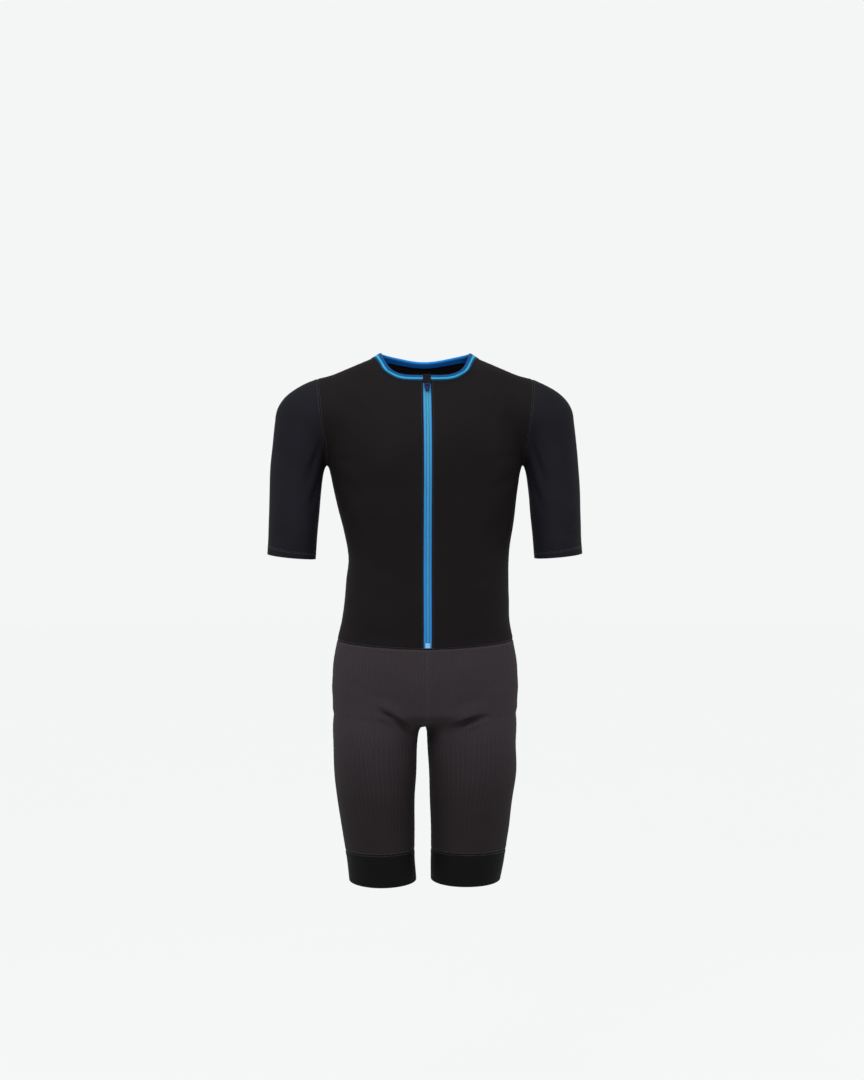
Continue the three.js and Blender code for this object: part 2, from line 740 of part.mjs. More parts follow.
[1, -1].forEach((side) => {
  const name = nameOf(side);
  const allRound = ["low", "high", "start", "end"];
  add("front_" + name, cloth(draw(frontPanel(side), allRound), KNIT), KNIT_BLACK);
  add("sleeve_" + name, cloth(draw(sleevePanel(side), ["low"]), KNIT, true), KNIT_BLACK);
  add("shorts_front_" + name, cloth(draw(shortsPanel(side, -1), allRound), KNIT), RIB_GREY);
  add("shorts_back_" + name, cloth(draw(shortsPanel(side, 1), allRound), KNIT), RIB_GREY);
  add("leg_gripper_" + name, cloth(draw(gripperPanel(side), ["low"]), BAND, true), BAND_BLACK);
  const edge = side * (CHAIN_HALF + LAYER_GAP);
  const tape = frontStrip(edge, side * TAPE_OUTER_X, ZIP_BOTTOM, ZIP_TOP, ZIP_ROWS);
  add("zip_tape_" + name, cloth(tape, TAPE_WALL, false, -KNIT - LAYER_GAP), BLUE);
});
add("back", cloth(draw(backPanel(), ["low", "high", "start", "end"]), KNIT), KNIT_BLACK);
add("neck_binding", bindingGeometry(), BLUE);
const chain = frontStrip(-CHAIN_HALF, CHAIN_HALF, STOP.high + LAYER_GAP, ZIP_TOP, ZIP_ROWS);
add("zip_chain", cloth(chain, CHAIN_WALL, false, -LAYER_GAP), BLUE);
const stop = frontStrip(-STOP.half, STOP.half, STOP.low, STOP.high, 1);
add("zip_bottom_stop", cloth(stop, STOP.lift + KNIT, false, STOP.lift), PALE);
add("zip_garage", garageGeometry(), KNIT_BLACK);

// The slider and tab lie on the cloth, turned to its slope.
const seat = frontAt(0, SLIDER.z);
const lean = outward(seat);
[["zip_slider", sliderGeometry(), NAVY], ["zip_pull_tab", tabGeometry(), NAVY]].forEach(
  ([name, geometry, material]) => {
    const mesh = add(name, geometry, material);
    mesh.position.copy(seat).addScaledVector(lean, SLIDER.lift);
    mesh.rotation.x = -Math.atan2(lean.z, -lean.y);
  },
);

export default suit;
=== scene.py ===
"""Finishes the short-sleeved triathlon suit: knit panels with flat seams and soft creases, ribbed
shorts, leg grippers, a bound neck and a closed coil zip with its slider.

Lengths are in millimetres until a mesh is made. Each panel is a grid of points on the same
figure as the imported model's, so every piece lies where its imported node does.
"""

import math

import bmesh
import bpy
import numpy as np
from mathutils import Matrix, Vector


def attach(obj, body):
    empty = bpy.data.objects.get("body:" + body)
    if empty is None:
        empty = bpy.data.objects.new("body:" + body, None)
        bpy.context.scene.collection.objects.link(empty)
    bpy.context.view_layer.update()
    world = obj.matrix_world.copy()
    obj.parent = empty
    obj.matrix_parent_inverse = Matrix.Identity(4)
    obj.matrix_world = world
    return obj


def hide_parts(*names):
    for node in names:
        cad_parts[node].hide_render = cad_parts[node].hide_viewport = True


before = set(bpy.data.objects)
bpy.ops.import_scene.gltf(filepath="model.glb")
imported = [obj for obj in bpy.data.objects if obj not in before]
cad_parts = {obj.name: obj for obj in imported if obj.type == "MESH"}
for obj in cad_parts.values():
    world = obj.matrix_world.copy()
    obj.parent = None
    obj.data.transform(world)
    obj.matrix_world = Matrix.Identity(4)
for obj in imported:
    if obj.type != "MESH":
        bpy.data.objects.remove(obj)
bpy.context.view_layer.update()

MM = 0.001

# Cloth and seams.
KNIT = 1.1
BAND = 1.5
BINDING_CLOTH = 0.8
SEAM_GAP = 0.12
WAIST_SEAM = -500
WAIST_RISE = 6
CROTCH_LEVEL = -570
GRIPPER_SEAM = -867
GRIPPER_RISE = 6
LEG_HEM = -920
SLEEVE_HEM_OUTER = -343
SLEEVE_HEM_INNER = -352
SIDE_SEAM_Y = 4
NECK = {"middle_y": -4, "side": -3, "front": -43, "back": -15.5}
NECK_SQUARENESS = {"front": 6, "back": 2}
ARMHOLE = {"x": 179.5, "y": 4, "z": -112, "lean": 0.105}

# Shares of an edge at which a panel turns a corner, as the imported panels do.
NECK_SHARE = 5 / 9
SIDE_SHARE = 11 / 19
INSEAM_SHARE = 1 / 2

# Zip.
ZIP_HALF_GAP = 7
TAPE_INNER_X = 2.35
TAPE_OUTER_X = 13
ZIP_TOP = -46
ZIP_BOTTOM = -498
STOP_TOP = -489


def sections(columns, *rows):
    """A table of level sections: a list of numbers for each named column."""
    return {name: np.array(column, float) for name, column in zip(columns, zip(*rows))}


TRUNK = sections(
    ("z", "x", "y", "half", "front", "back"),
    (-612, 0, 0, 154, 90, 116),
    (-574, 0, 0, 161, 99, 122),
    (-539, 0, 0, 161.5, 102, 119),
    (-495, 0, 0, 154, 102, 110),
    (-460, 1, 0, 147, 101, 103),
    (-425, 3, 0, 144, 99, 96),
    (-390, 4, 0, 142, 97, 90),
    (-350, 6, 0, 140, 96, 87),
    (-303, 5, 0, 147, 100, 88),
    (-268, 3, 0, 154, 104, 92),
    (-233, 1, 0, 160, 108, 97),
    (-190, 0, 0, 167, 112, 102),
    (-150, 0, 0, 171, 109, 105),
    (-105, 0, 0, 168, 97, 102),
    (-65, 0, 0, 145, 78, 88),
    (-32, 0, 0, 95, 52, 62),
)
NECK_COLUMN = sections(
    ("z", "x", "y", "half", "front", "back"),
    (-90, 0, 2, 66, 58, 60),
    (60, 0, -16, 66, 58, 58),
)
LEGS = sections(
    ("z", "right", "left", "half_right", "half_left", "y", "front", "back"),
    (-925, -75, 71, 59, 61, -1, 62, 64),
    (-880, -79, 75, 60, 65, -1, 66, 68),
    (-828, -83, 79, 64, 69, 0, 73, 76),
    (-775, -87, 81, 68, 73, 0, 80, 83),
    (-731, -88, 84, 72, 77, 1, 85, 89),
    (-680, -88, 82, 73.5, 78, 2, 88, 96),
    (-640, -86, 82, 76, 79, 3, 86, 101),
    (-590, -82, 80, 73, 75, 4, 76, 96),
)
ARMS = sections(
    ("z", "x", "y", "half", "front", "back"),
    (-360, 234, -8, 42.5, 46, 46),
    (-320, 231, -6, 42.5, 47, 47),
    (-285, 229, -3, 43.5, 49, 49),
    (-233, 226, 0, 45, 51, 51),
    (-198, 223, 2, 46.5, 52, 53),
    (-150, 215, 4, 50, 54, 55),
    (-110, 206, 4, 54, 54, 56),
)
SHOULDER = {"inner": (50, 6, -34), "outer": (158, 4, -88), "inner_radius": 44, "outer_radius": 52}
TRUNK_CAP = {"low": 28, "high": 16}
LIMB_CAP = {"low": 40, "high": 52}
TRUNK_SQUARENESS = 2.2
LIMB_SQUARENESS = 2
NECK_BLEND = 26
SHOULDER_BLEND = 36
CROTCH_BLEND = 12
HIP_BLEND = 24
ARMPIT_BLEND = {"soft": 44, "tight": 16, "soft_z": -95, "tight_z": -170}
CORE = {
    "waist_half": 72,
    "shoulder_half": 150,
    "chest_z": -215,
    "shoulder_z": -110,
    "neck_top": -72,
    "shoulder_top": -100,
    "seat_z": -635,
    "fork_low": -672,
    "fork_high": -650,
}


# Round the armpit, the cloth is reached from a place above and a little inside it.
ARMPIT = {"x": 171, "z": -191, "rise": 76, "inward": 0.93, "close": 16, "far": 62}


def vectors(x, y, z):
    """Points or directions from their three parts, each a number or an array."""
    return np.stack(np.broadcast_arrays(x, y, z), axis=-1).astype(float)


def lerp(a, b, share):
    return a + (b - a) * share


def smooth_step(x, low, high):
    t = np.clip((x - low) / (high - low), 0, 1)
    return t * t * (3 - 2 * t)


def length_of(v):
    return np.linalg.norm(v, axis=-1)


def unit(v):
    return v / np.maximum(length_of(v), 1e-9)[..., None]


def read(table, column, z):
    """One column of a table at given heights, by a curve through its rows."""
    heights, values = table["z"], table[column]
    ends = np.concatenate(([0], np.arange(len(heights)), [len(heights) - 1]))
    rise = values[ends[2:]] - values[ends[:-2]]
    slopes = rise / (heights[ends[2:]] - heights[ends[:-2]])
    i = np.clip(np.searchsorted(heights, z, side="left") - 1, 0, len(heights) - 2)
    span = heights[i + 1] - heights[i]
    t = np.clip((z - heights[i]) / span, 0, 1)
    ease = t * t * (3 - 2 * t)
    bend = slopes[i] * t * (1 - t) ** 2 - slopes[i + 1] * t * t * (1 - t)
    return values[i] * (1 - ease) + values[i + 1] * ease + span * bend


def form_distance(p, table, cap, squareness, x="x", half="half"):
    """Distance to an upright form with rounded ends along the ray from its middle."""
    z = np.clip(p[..., 2], table["z"][0], table["z"][-1])
    dx = p[..., 0] - read(table, x, z)
    dy = p[..., 1] - read(table, "y", z)
    dz = p[..., 2] - z
    depth = np.where(dy < 0, read(table, "front", z), read(table, "back", z))
    across = np.abs(dx / read(table, half, z)) ** squareness
    level = (across + np.abs(dy / depth) ** squareness) ** (1 / squareness)
    size = np.hypot(level, dz / np.where(dz < 0, cap["low"], cap["high"]))
    middle = size < 0.01
    along = np.sqrt(dx * dx + dy * dy + dz * dz) * (1 - 1 / np.where(middle, 1, size))
    return np.where(middle, -read(table, half, z), along)


def shoulder_distance(p):
    """Distance to a rounded bar from the neck to the point of the shoulder."""
    inner, outer = np.array(SHOULDER["inner"], float), np.array(SHOULDER["outer"], float)
    line = outer - inner
    t = np.clip((p - inner) @ line / (line @ line), 0, 1)
    radius = lerp(SHOULDER["inner_radius"], SHOULDER["outer_radius"], t)
    return length_of(p - inner - t[..., None] * line) - radius


def smooth_union(a, b, blend):
    h = np.maximum(blend - np.abs(a - b), 0) / blend
    return np.minimum(a, b) - h * h * blend / 4


def figure(p):
    """The whole figure: negative inside, zero on the cloth's outer face."""
    mirrored = p * (1, 1, 1)
    mirrored[..., 0] = np.abs(p[..., 0])
    d = form_distance(p, TRUNK, TRUNK_CAP, TRUNK_SQUARENESS)
    d = smooth_union(d, shoulder_distance(mirrored), SHOULDER_BLEND)
    d = smooth_union(d, form_distance(p, NECK_COLUMN, LIMB_CAP, LIMB_SQUARENESS), NECK_BLEND)
    left = form_distance(p, LEGS, LIMB_CAP, LIMB_SQUARENESS, "left", "half_left")
    right = form_distance(p, LEGS, LIMB_CAP, LIMB_SQUARENESS, "right", "half_right")
    d = smooth_union(d, smooth_union(left, right, CROTCH_BLEND), HIP_BLEND)
    low = smooth_step(p[..., 2], ARMPIT_BLEND["tight_z"], ARMPIT_BLEND["soft_z"])
    blend = lerp(ARMPIT_BLEND["tight"], ARMPIT_BLEND["soft"], low)
    return smooth_union(d, form_distance(mirrored, ARMS, LIMB_CAP, LIMB_SQUARENESS), blend)


def outward(p):
    """Unit vectors straight out of the figure at points of its surface."""
    h = 0.5
    parts = [(figure(p + h * axis) - figure(p - h * axis)) for axis in np.eye(3)]
    return unit(np.stack(parts, axis=-1))


def reach(source, direction):
    """The first points of the cloth's outer face along rays from points inside."""
    source, direction = np.broadcast_arrays(source, direction)
    start, ray = source.reshape(-1, 3), unit(direction.reshape(-1, 3))
    step, limit = 4.0, 400.0
    far = np.full(len(start), step)
    going = np.arange(len(start))
    while len(going):
        inside = figure(start[going] + ray[going] * far[going, None]) < 0
        going = going[inside & (far[going] < limit)]
        far[going] += step
    near = far - step
    for _ in range(14):
        middle = (near + far) / 2
        inside = figure(start + ray * middle[:, None]) < 0
        near = np.where(inside, middle, near)
        far = np.where(inside, far, middle)
    return (start + ray * far[:, None]).reshape(source.shape)


# Seams. A side is 1 for the wearer's left and -1 for the right.


def front_at(x, z):
    return reach(vectors(x, 0, z), vectors(0, -1, 0))


def neck_seam(degrees, rise=0.0):
    a = np.radians(degrees)
    ahead = np.cos(a) > 0
    level = np.where(ahead, NECK["front"], NECK["back"])
    squareness = np.where(ahead, NECK_SQUARENESS["front"], NECK_SQUARENESS["back"])
    z = lerp(level, NECK["side"], np.abs(np.sin(a)) ** squareness) + rise
    return reach(vectors(0, NECK["middle_y"], z), vectors(np.sin(a), -np.cos(a), 0))


def armhole(side, degrees):
    """Degrees run from the top of the shoulder over the front to the armpit and up the back."""
    a = np.radians(degrees)
    middle = vectors(side * ARMHOLE["x"], ARMHOLE["y"], ARMHOLE["z"])
    up = unit(vectors(side * ARMHOLE["lean"], 0, 1))
    return reach(middle, up * np.cos(a)[..., None] + vectors(0, -np.sin(a), 0))


def side_seam(side, z):
    return reach(vectors(read(TRUNK, "x", z), SIDE_SEAM_Y, z), vectors(side, 0, 0))


def waist_height(degrees):
    """The waist seam rises a little towards the sides."""
    return WAIST_SEAM + WAIST_RISE * np.sin(np.radians(degrees)) ** 2


def waist_ring(side, degrees):
    """Degrees run from the front to the wearer's side and on to the back."""
    a = np.radians(degrees)
    x = float(read(TRUNK, "x", np.array(WAIST_SEAM)))
    middle = vectors(x, SIDE_SEAM_Y, waist_height(degrees))
    return reach(middle, vectors(side * np.sin(a), -np.cos(a), 0))


def leg_middle(side, z):
    return vectors(read(LEGS, "left" if side > 0 else "right", z), SIDE_SEAM_Y, z)


def leg_ring(side, degrees, z):
    a = np.radians(degrees)
    return reach(leg_middle(side, z), vectors(side * np.sin(a), -np.cos(a), 0))


def gripper_height(degrees):
    return GRIPPER_SEAM + GRIPPER_RISE * np.cos(np.radians(degrees))


def middle_seam(facing, share):
    """The seam down the middle of the front or back of the shorts, to the crotch."""
    straight = np.clip(share * 2, 0, 1)
    a = np.clip(share * 2 - 1, 0, 1) * math.pi / 2
    level = lerp(WAIST_SEAM, CROTCH_LEVEL, straight)
    return reach(vectors(0, SIDE_SEAM_Y, level), vectors(0, facing * np.cos(a), -np.sin(a)))


def shoulder_seam(side, share):
    neck = vectors(0, NECK["middle_y"], NECK["side"])
    tip = vectors(side * ARMHOLE["x"], ARMHOLE["y"], ARMHOLE["z"])
    source = lerp(neck, tip, share[..., None])
    ends = neck_seam(np.array(side * 90.0)), armhole(side, np.array(0.0))
    return reach(source, lerp(ends[0], ends[1], share[..., None]) - source)


def sleeve_hem(side, degrees):
    a = np.radians(degrees)
    z = lerp(SLEEVE_HEM_INNER, SLEEVE_HEM_OUTER, (1 + np.cos(a)) / 2)
    middle = vectors(side * read(ARMS, "x", z), read(ARMS, "y", z), z)
    return reach(middle, vectors(side * np.cos(a), -np.sin(a), 0)), middle


def trunk_core(p):
    """Points in the core of the trunk, close behind points of its cloth."""
    high = smooth_step(p[..., 2], CORE["chest_z"], CORE["shoulder_z"])
    half = lerp(CORE["waist_half"], CORE["shoulder_half"], high)
    x = np.clip(p[..., 0], -half, half)
    top = lerp(CORE["neck_top"], CORE["shoulder_top"], np.abs(x) / CORE["shoulder_half"])
    core = vectors(x, SIDE_SEAM_Y, np.minimum(p[..., 2], top))
    armpit = vectors(ARMPIT["x"] * np.sign(p[..., 0]), SIDE_SEAM_Y, ARMPIT["z"])
    above = armpit + (0, 0, ARMPIT["rise"])
    above[..., 0] *= ARMPIT["inward"]
    near = 1 - smooth_step(length_of(p - armpit), ARMPIT["close"], ARMPIT["far"])
    return lerp(core, above, near[..., None])


def shorts_core(side):
    """The same for one side of the shorts, whose core moves over into the leg at the fork."""

    def core(p):
        low = 1 - smooth_step(p[..., 2], CORE["fork_low"], CORE["fork_high"])
        hip = np.clip(side * p[..., 0], 0, CORE["waist_half"]) * side
        x = lerp(hip, leg_middle(side, p[..., 2])[..., 0], low)
        z = lerp(np.maximum(p[..., 2], CORE["seat_z"]), p[..., 2], low)
        return vectors(x, SIDE_SEAM_Y, z)

    return core


# Panels: grids of points on the cloth's outer face.


def spread(*runs):
    """Shares from 0 to 1 in runs of (end share, count), closer together at each run's ends."""
    shares, start = [np.zeros(1)], 0.0
    for end, count in runs:
        t = np.linspace(0, 1, count + 1)[1:]
        eased = lerp(t, 0.5 - 0.5 * np.cos(math.pi * t), 0.45)
        shares.append(start + (end - start) * eased)
        start = end
    return np.concatenate(shares)


def corner_edge(shares, corner, first, second):
    """An edge that turns a corner at a share: a run of points before it and another after."""
    before, after = shares[shares < corner], shares[shares >= corner]
    return np.concatenate((first(before / corner), second((after - corner) / (1 - corner))))


def patch(columns, rows, low, high, start, end, core):
    """A grid between four edges: low and high run the same way, and so do start and end."""
    u, v = columns[None, :, None], rows[:, None, None]
    flat = lerp(low[None], high[None], v) + lerp(start[:, None], end[:, None], u)
    flat = flat - lerp(lerp(low[0], low[-1], u), lerp(high[0], high[-1], u), v)
    source = core(flat)
    grid = reach(source, flat - source)
    grid[0], grid[-1], grid[:, 0], grid[:, -1] = low, high, start, end
    return grid


def relaxed(grid, core, rows, columns, passes=14):
    """Evens out the inner points of a part of a grid, back onto the cloth's outer face."""
    part = grid[rows, columns]
    for _ in range(passes):
        target = (part[:-2, 1:-1] + part[2:, 1:-1] + part[1:-1, :-2] + part[1:-1, 2:]) / 4
        source = core(target)
        part[1:-1, 1:-1] = reach(source, target - source)
    return grid


def side_edge(side, rows, over_front):
    armpit = armhole(side, np.array(180.0))
    sweep = -180 if over_front else 180
    return corner_edge(
        rows,
        SIDE_SHARE,
        lambda t: side_seam(side, lerp(waist_height(90), armpit[2], t)),
        lambda t: armhole(side, 180 + sweep * t),
    )


def neck_degrees_at(x):
    """How far round from the front the neck seam reaches a distance across."""
    degrees = np.linspace(0, 40, 401)
    return float(np.interp(x, neck_seam(degrees)[:, 0], degrees))


def front_panel(side):
    columns, rows = spread((NECK_SHARE, 34), (1, 30)), spread((SIDE_SHARE, 104), (1, 62))
    first = neck_degrees_at(ZIP_HALF_GAP)
    waist_first = math.degrees(math.atan(ZIP_HALF_GAP / 106))
    high = corner_edge(
        columns,
        NECK_SHARE,
        lambda t: neck_seam(side * lerp(first, 90, t)),
        lambda t: shoulder_seam(side, t),
    )
    low = waist_ring(side, lerp(waist_first, 90, columns))
    start = front_at(side * ZIP_HALF_GAP, lerp(WAIST_SEAM, high[0, 2], rows))
    grid = patch(columns, rows, low, high, start, side_edge(side, rows, True), trunk_core)
    return relaxed(grid, trunk_core, np.s_[80:126], np.s_[36:])


def back_panel():
    shoulder = 4 / 18
    columns = spread((shoulder, 30), (1 - shoulder, 62), (1, 30))
    rows = spread((SIDE_SHARE, 104), (1, 62))
    low = waist_ring(-1, 90 + 180 * columns)
    right = shoulder_seam(-1, 1 - columns[columns < shoulder] / shoulder)
    middle = (columns >= shoulder) & (columns <= 1 - shoulder)
    neck = neck_seam(-90 - 180 * (columns[middle] - shoulder) / (1 - 2 * shoulder))
    left = shoulder_seam(1, (columns[columns > 1 - shoulder] - 1 + shoulder) / shoulder)
    high = np.concatenate((right, neck, left))
    edges = side_edge(-1, rows, False), side_edge(1, rows, False)
    grid = patch(columns, rows, low, high, *edges, trunk_core)
    relaxed(grid, trunk_core, np.s_[80:126], np.s_[:34])
    return relaxed(grid, trunk_core, np.s_[80:126], np.s_[-34:])


def sleeve_panel(side):
    rows, turns = spread((1, 84)), np.linspace(0, 360, 121)[:-1]
    top = armhole(side, turns)
    middle = vectors(side * ARMHOLE["x"], ARMHOLE["y"], ARMHOLE["z"])
    hem, hem_middle = sleeve_hem(side, turns)
    t = rows[:, None, None]
    source = lerp(middle, hem_middle[None], t)
    grid = reach(source, lerp(top[None], hem[None], t) - source)
    grid[0], grid[-1] = top, hem
    return grid


def shorts_panel(side, facing):
    columns, rows = spread((1, 84)), spread((INSEAM_SHARE, 70), (1, 64))
    turn = lerp(-90, 90 if facing < 0 else -270, columns)
    waist = 90 * columns if facing < 0 else 180 - 90 * columns
    low = leg_ring(side, turn, gripper_height(turn))
    high = waist_ring(side, waist)
    crotch = middle_seam(facing, np.array([1.0]))
    start = corner_edge(
        rows,
        INSEAM_SHARE,
        lambda t: leg_ring(side, np.full(t.shape, -90.0), lerp(low[0, 2], crotch[0, 2], t)),
        lambda t: middle_seam(facing, 1 - t),
    )
    heights = lerp(low[-1, 2], waist_height(90), rows)
    on_leg = heights < TRUNK["z"][0]
    outer_leg = leg_ring(side, np.full(on_leg.sum(), 90.0), heights[on_leg])
    end = np.concatenate((outer_leg, side_seam(side, heights[~on_leg])))
    core = shorts_core(side)
    grid = patch(columns, rows, low, high, start, end, core)
    return relaxed(grid, core, np.s_[48:96], np.s_[:44])


def gripper_panel(side):
    rows, turns = spread((1, 20)), np.linspace(-90, 270, 151)[:-1]
    heights = lerp(gripper_height(turns)[None], LEG_HEM, rows[:, None])
    return leg_ring(side, np.broadcast_to(turns, heights.shape), heights)


# Creases. Each runs through three places, given across (x, or degrees round a sleeve) and up
# the cloth, with a depth that is below 0 for a trough and a half width.
CREASE_COLUMNS = ("panel", "a", "b", "c", "depth", "half")
CREASES = [
    ("shorts_front", (-84, -606), (-52, -620), (-26, -649), -8.5, 4.6),
    ("shorts_front", (-94, -590), (-62, -600), (-38, -618), 2.6, 8),
    ("shorts_front", (-60, -640), (-46, -652), (-30, -664), -1.3, 5),
    ("shorts_front", (110, -619), (66, -621), (29, -652), -9.5, 4.6),
    ("shorts_front", (106, -602), (70, -604), (42, -620), 2.6, 8),
    ("shorts_front", (62, -640), (48, -652), (30, -668), -1.5, 5),
    ("shorts_front", (-20, -560), (-17, -590), (-12, -630), -1.0, 7),
    ("shorts_front", (24, -552), (20, -584), (12, -626), -1.1, 8),
    ("shorts_front", (-132, -560), (-96, -584), (-60, -590), -0.9, 10),
    ("shorts_front", (138, -545), (108, -575), (70, -588), -0.9, 9),
    ("shorts_front", (-120, -730), (-84, -744), (-44, -735), -0.8, 12),
    ("shorts_front", (124, -760), (88, -770), (50, -760), -0.7, 12),
    ("shorts_back", (-28, -652), (-66, -668), (-118, -660), -3.0, 7),
    ("shorts_back", (26, -655), (60, -674), (112, -668), -3.2, 7),
    ("shorts_back", (-34, -676), (-70, -692), (-104, -690), -1.6, 8),
    ("shorts_back", (36, -684), (74, -700), (120, -694), -1.3, 9),
    ("shorts_back", (-12, -560), (-34, -590), (-40, -640), -1.2, 9),
    ("shorts_back", (14, -548), (30, -580), (44, -628), -1.3, 9),
    ("shorts_back", (-124, -790), (-88, -800), (-50, -792), -0.9, 12),
    ("shorts_back", (50, -780), (86, -792), (118, -784), -0.8, 12),
    ("front", (168, -176), (140, -168), (104, -182), -1.7, 7),
    ("front", (166, -204), (142, -208), (112, -232), -1.9, 8),
    ("front", (-168, -180), (-144, -174), (-112, -190), -1.4, 7),
    ("front", (-166, -206), (-146, -212), (-120, -240), -1.6, 8),
    ("front", (146, -262), (128, -282), (118, -320), -0.9, 12),
    ("front", (-148, -270), (-130, -296), (-122, -340), -0.9, 12),
    ("front", (140, -372), (92, -388), (40, -384), -1.0, 12),
    ("front", (-138, -356), (-96, -374), (-50, -372), -0.9, 11),
    ("front", (142, -410), (110, -428), (74, -430), -0.9, 12),
    ("front", (-140, -400), (-104, -420), (-60, -424), -1.0, 12),
    ("front", (-146, -462), (-100, -478), (-46, -480), -0.9, 9),
    ("front", (148, -470), (110, -482), (60, -484), -0.8, 9),
    ("front", (128, -66), (108, -96), (98, -128), -0.8, 10),
    ("front", (-128, -68), (-110, -100), (-100, -136), -0.8, 10),
    ("back", (-166, -196), (-136, -212), (-104, -246), -2.0, 9),
    ("back", (166, -190), (134, -208), (98, -250), -2.1, 9),
    ("back", (-160, -232), (-136, -258), (-116, -300), -1.3, 11),
    ("back", (158, -226), (138, -254), (120, -306), -1.2, 11),
    ("back", (-132, -352), (-70, -372), (-8, -362), -2.2, 11),
    ("back", (138, -342), (84, -366), (22, -360), -2.0, 10),
    ("back", (-118, -388), (-40, -404), (34, -396), -2.3, 12),
    ("back", (136, -384), (96, -400), (52, -404), -1.4, 10),
    ("back", (-136, -420), (-84, -438), (-30, -436), -1.5, 11),
    ("back", (128, -418), (66, -440), (4, -436), -1.9, 12),
    ("back", (-60, -466), (0, -476), (62, -468), -1.2, 11),
    ("back", (-96, -110), (-78, -150), (-74, -196), -0.9, 13),
    ("back", (98, -104), (82, -150), (80, -204), -0.9, 13),
    ("sleeve", (158, -176), (150, -214), (128, -262), -2.4, 6),
    ("sleeve", (128, -150), (126, -186), (112, -226), -2.0, 6),
    ("sleeve", (198, -170), (206, -214), (232, -258), -2.4, 7),
    ("sleeve", (224, -150), (232, -190), (252, -232), -1.7, 7),
    ("sleeve", (96, -300), (56, -318), (14, -312), -0.8, 9),
    ("sleeve", (262, -296), (300, -318), (338, -316), -0.9, 9),
    ("sleeve", (60, -120), (40, -160), (34, -206), -0.7, 10),
    ("sleeve", (300, -116), (318, -160), (322, -212), -0.8, 10),
]


def crease_depth(crease, across, up, scale):
    """How far one crease moves each point of a panel in or out."""
    row = dict(zip(CREASE_COLUMNS, crease))
    t = np.linspace(0, 1, 25)[:, None]
    a, b, c = (np.array(row[k], float) * (scale, 1) for k in "abc")
    path = (1 - t) ** 2 * a + 2 * t * (1 - t) * b + t * t * c
    best = np.full(across.shape, np.inf)
    place = np.zeros(across.shape)
    for k in range(len(path) - 1):
        line = path[k + 1] - path[k]
        dx, dz = across - path[k, 0], up - path[k, 1]
        s = np.clip((dx * line[0] + dz * line[1]) / (line @ line), 0, 1)
        d = np.hypot(dx - s * line[0], dz - s * line[1])
        closer = d < best
        best = np.where(closer, d, best)
        place = np.where(closer, (k + s) / (len(path) - 1), place)
    swell = np.sin(math.pi * np.clip(place * 0.94 + 0.03, 0, 1)) ** 0.8
    swell *= 1 + 0.22 * np.sin(9 * place + a[0] + b[1])
    ratio = best / (row["half"] * (0.75 + 0.5 * place))
    lips = 0.28 * np.exp(-((ratio - 2.1) ** 2))
    return row["depth"] * swell * (np.exp(-ratio * ratio) - lips)


def drape(panel, grid):
    """How far the cloth of a panel stands off the figure: its creases and slight unevenness."""
    x, z = grid[..., 0], grid[..., 2]
    across, scale = x, 1.0
    if panel == "sleeve":
        y = grid[..., 1]
        middle = read(ARMS, "x", z)
        turn = np.degrees(np.arctan2(-(y - read(ARMS, "y", z)), np.abs(x) - middle)) % 360
        scale = 0.8
        across = turn * scale
    moved = 0.35 * np.sin(0.051 * x + 0.017 * z + 0.8) * np.sin(0.043 * z - 0.012 * x)
    moved += 0.22 * np.sin(0.093 * z + 0.03 * x + 2.1) * np.sin(0.07 * x + 0.4)
    for crease in CREASES:
        if crease[0] == panel:
            moved = moved + crease_depth(crease, across, z, scale)
    return moved


def arc_lengths(grid, axis):
    """Mean distance along a grid's rows or columns from the first point."""
    steps = length_of(np.diff(grid, axis=axis)).mean(axis=1 - axis)
    return np.concatenate(([0.0], np.cumsum(steps)))


ALL_ROUND = ("low", "high", "start", "end")


class Panel:
    """A panel's outer face as a grid, with the distances along it, and its faces' directions."""

    def __init__(self, name, kind, grid, sewn, looped=False, lift=0.0):
        self.name, self.looped = name, looped
        across, up = arc_lengths(grid, 1), arc_lengths(grid, 0)
        self.across, self.up = across, up
        self.normal = outward(grid)
        edge = np.full(grid.shape[:2], 99.0)
        sides = {
            "low": up[:, None],
            "high": (up[-1] - up)[:, None],
            "start": across[None, :],
            "end": (across[-1] - across)[None, :],
        }
        for side in sewn:
            edge = np.minimum(edge, sides[side])
        calm = smooth_step(edge, 1.0, 22.0)
        along = np.add.outer(up, 0.9 * across)
        pucker = 0.16 * np.sin(along * 0.55) * np.exp(-((edge / 7.0) ** 2))
        roll = -0.75 * np.exp(-((edge / 2.2) ** 2)) + 0.28 * np.exp(-(((edge - 5.5) / 2.6) ** 2))
        stand = drape(kind, grid) * calm + pucker + roll + lift
        self.grid = pulled_in(grid, sewn) + self.normal * stand[..., None]

    def line(self, side, inset, lift=0.06):
        """Points that run along a side of the panel, a distance in from it."""
        place = {"low": self.up, "high": self.up, "start": self.across, "end": self.across}[side]
        last = place[-1]
        at = inset if side in ("low", "start") else last - inset
        k = int(np.clip(np.searchsorted(place, at) - 1, 0, len(place) - 2))
        share = (at - place[k]) / (place[k + 1] - place[k])
        raised = self.grid + self.normal * lift
        if side in ("low", "high"):
            points = lerp(raised[k], raised[k + 1], share)
            return np.concatenate((points, points[:1])) if self.looped else points
        return lerp(raised[:, k], raised[:, k + 1], share)


def pulled_in(grid, sewn):
    """The grid with its sewn edges drawn in by half the gap of a seam."""
    moved = grid.copy()
    pairs = {
        "low": (np.s_[0], np.s_[1]),
        "high": (np.s_[-1], np.s_[-2]),
        "start": (np.s_[:, 0], np.s_[:, 1]),
        "end": (np.s_[:, -1], np.s_[:, -2]),
    }
    for side in sewn:
        edge, inner = pairs[side]
        moved[edge] += unit(grid[inner] - grid[edge]) * SEAM_GAP / 2
    return moved


# Meshes.


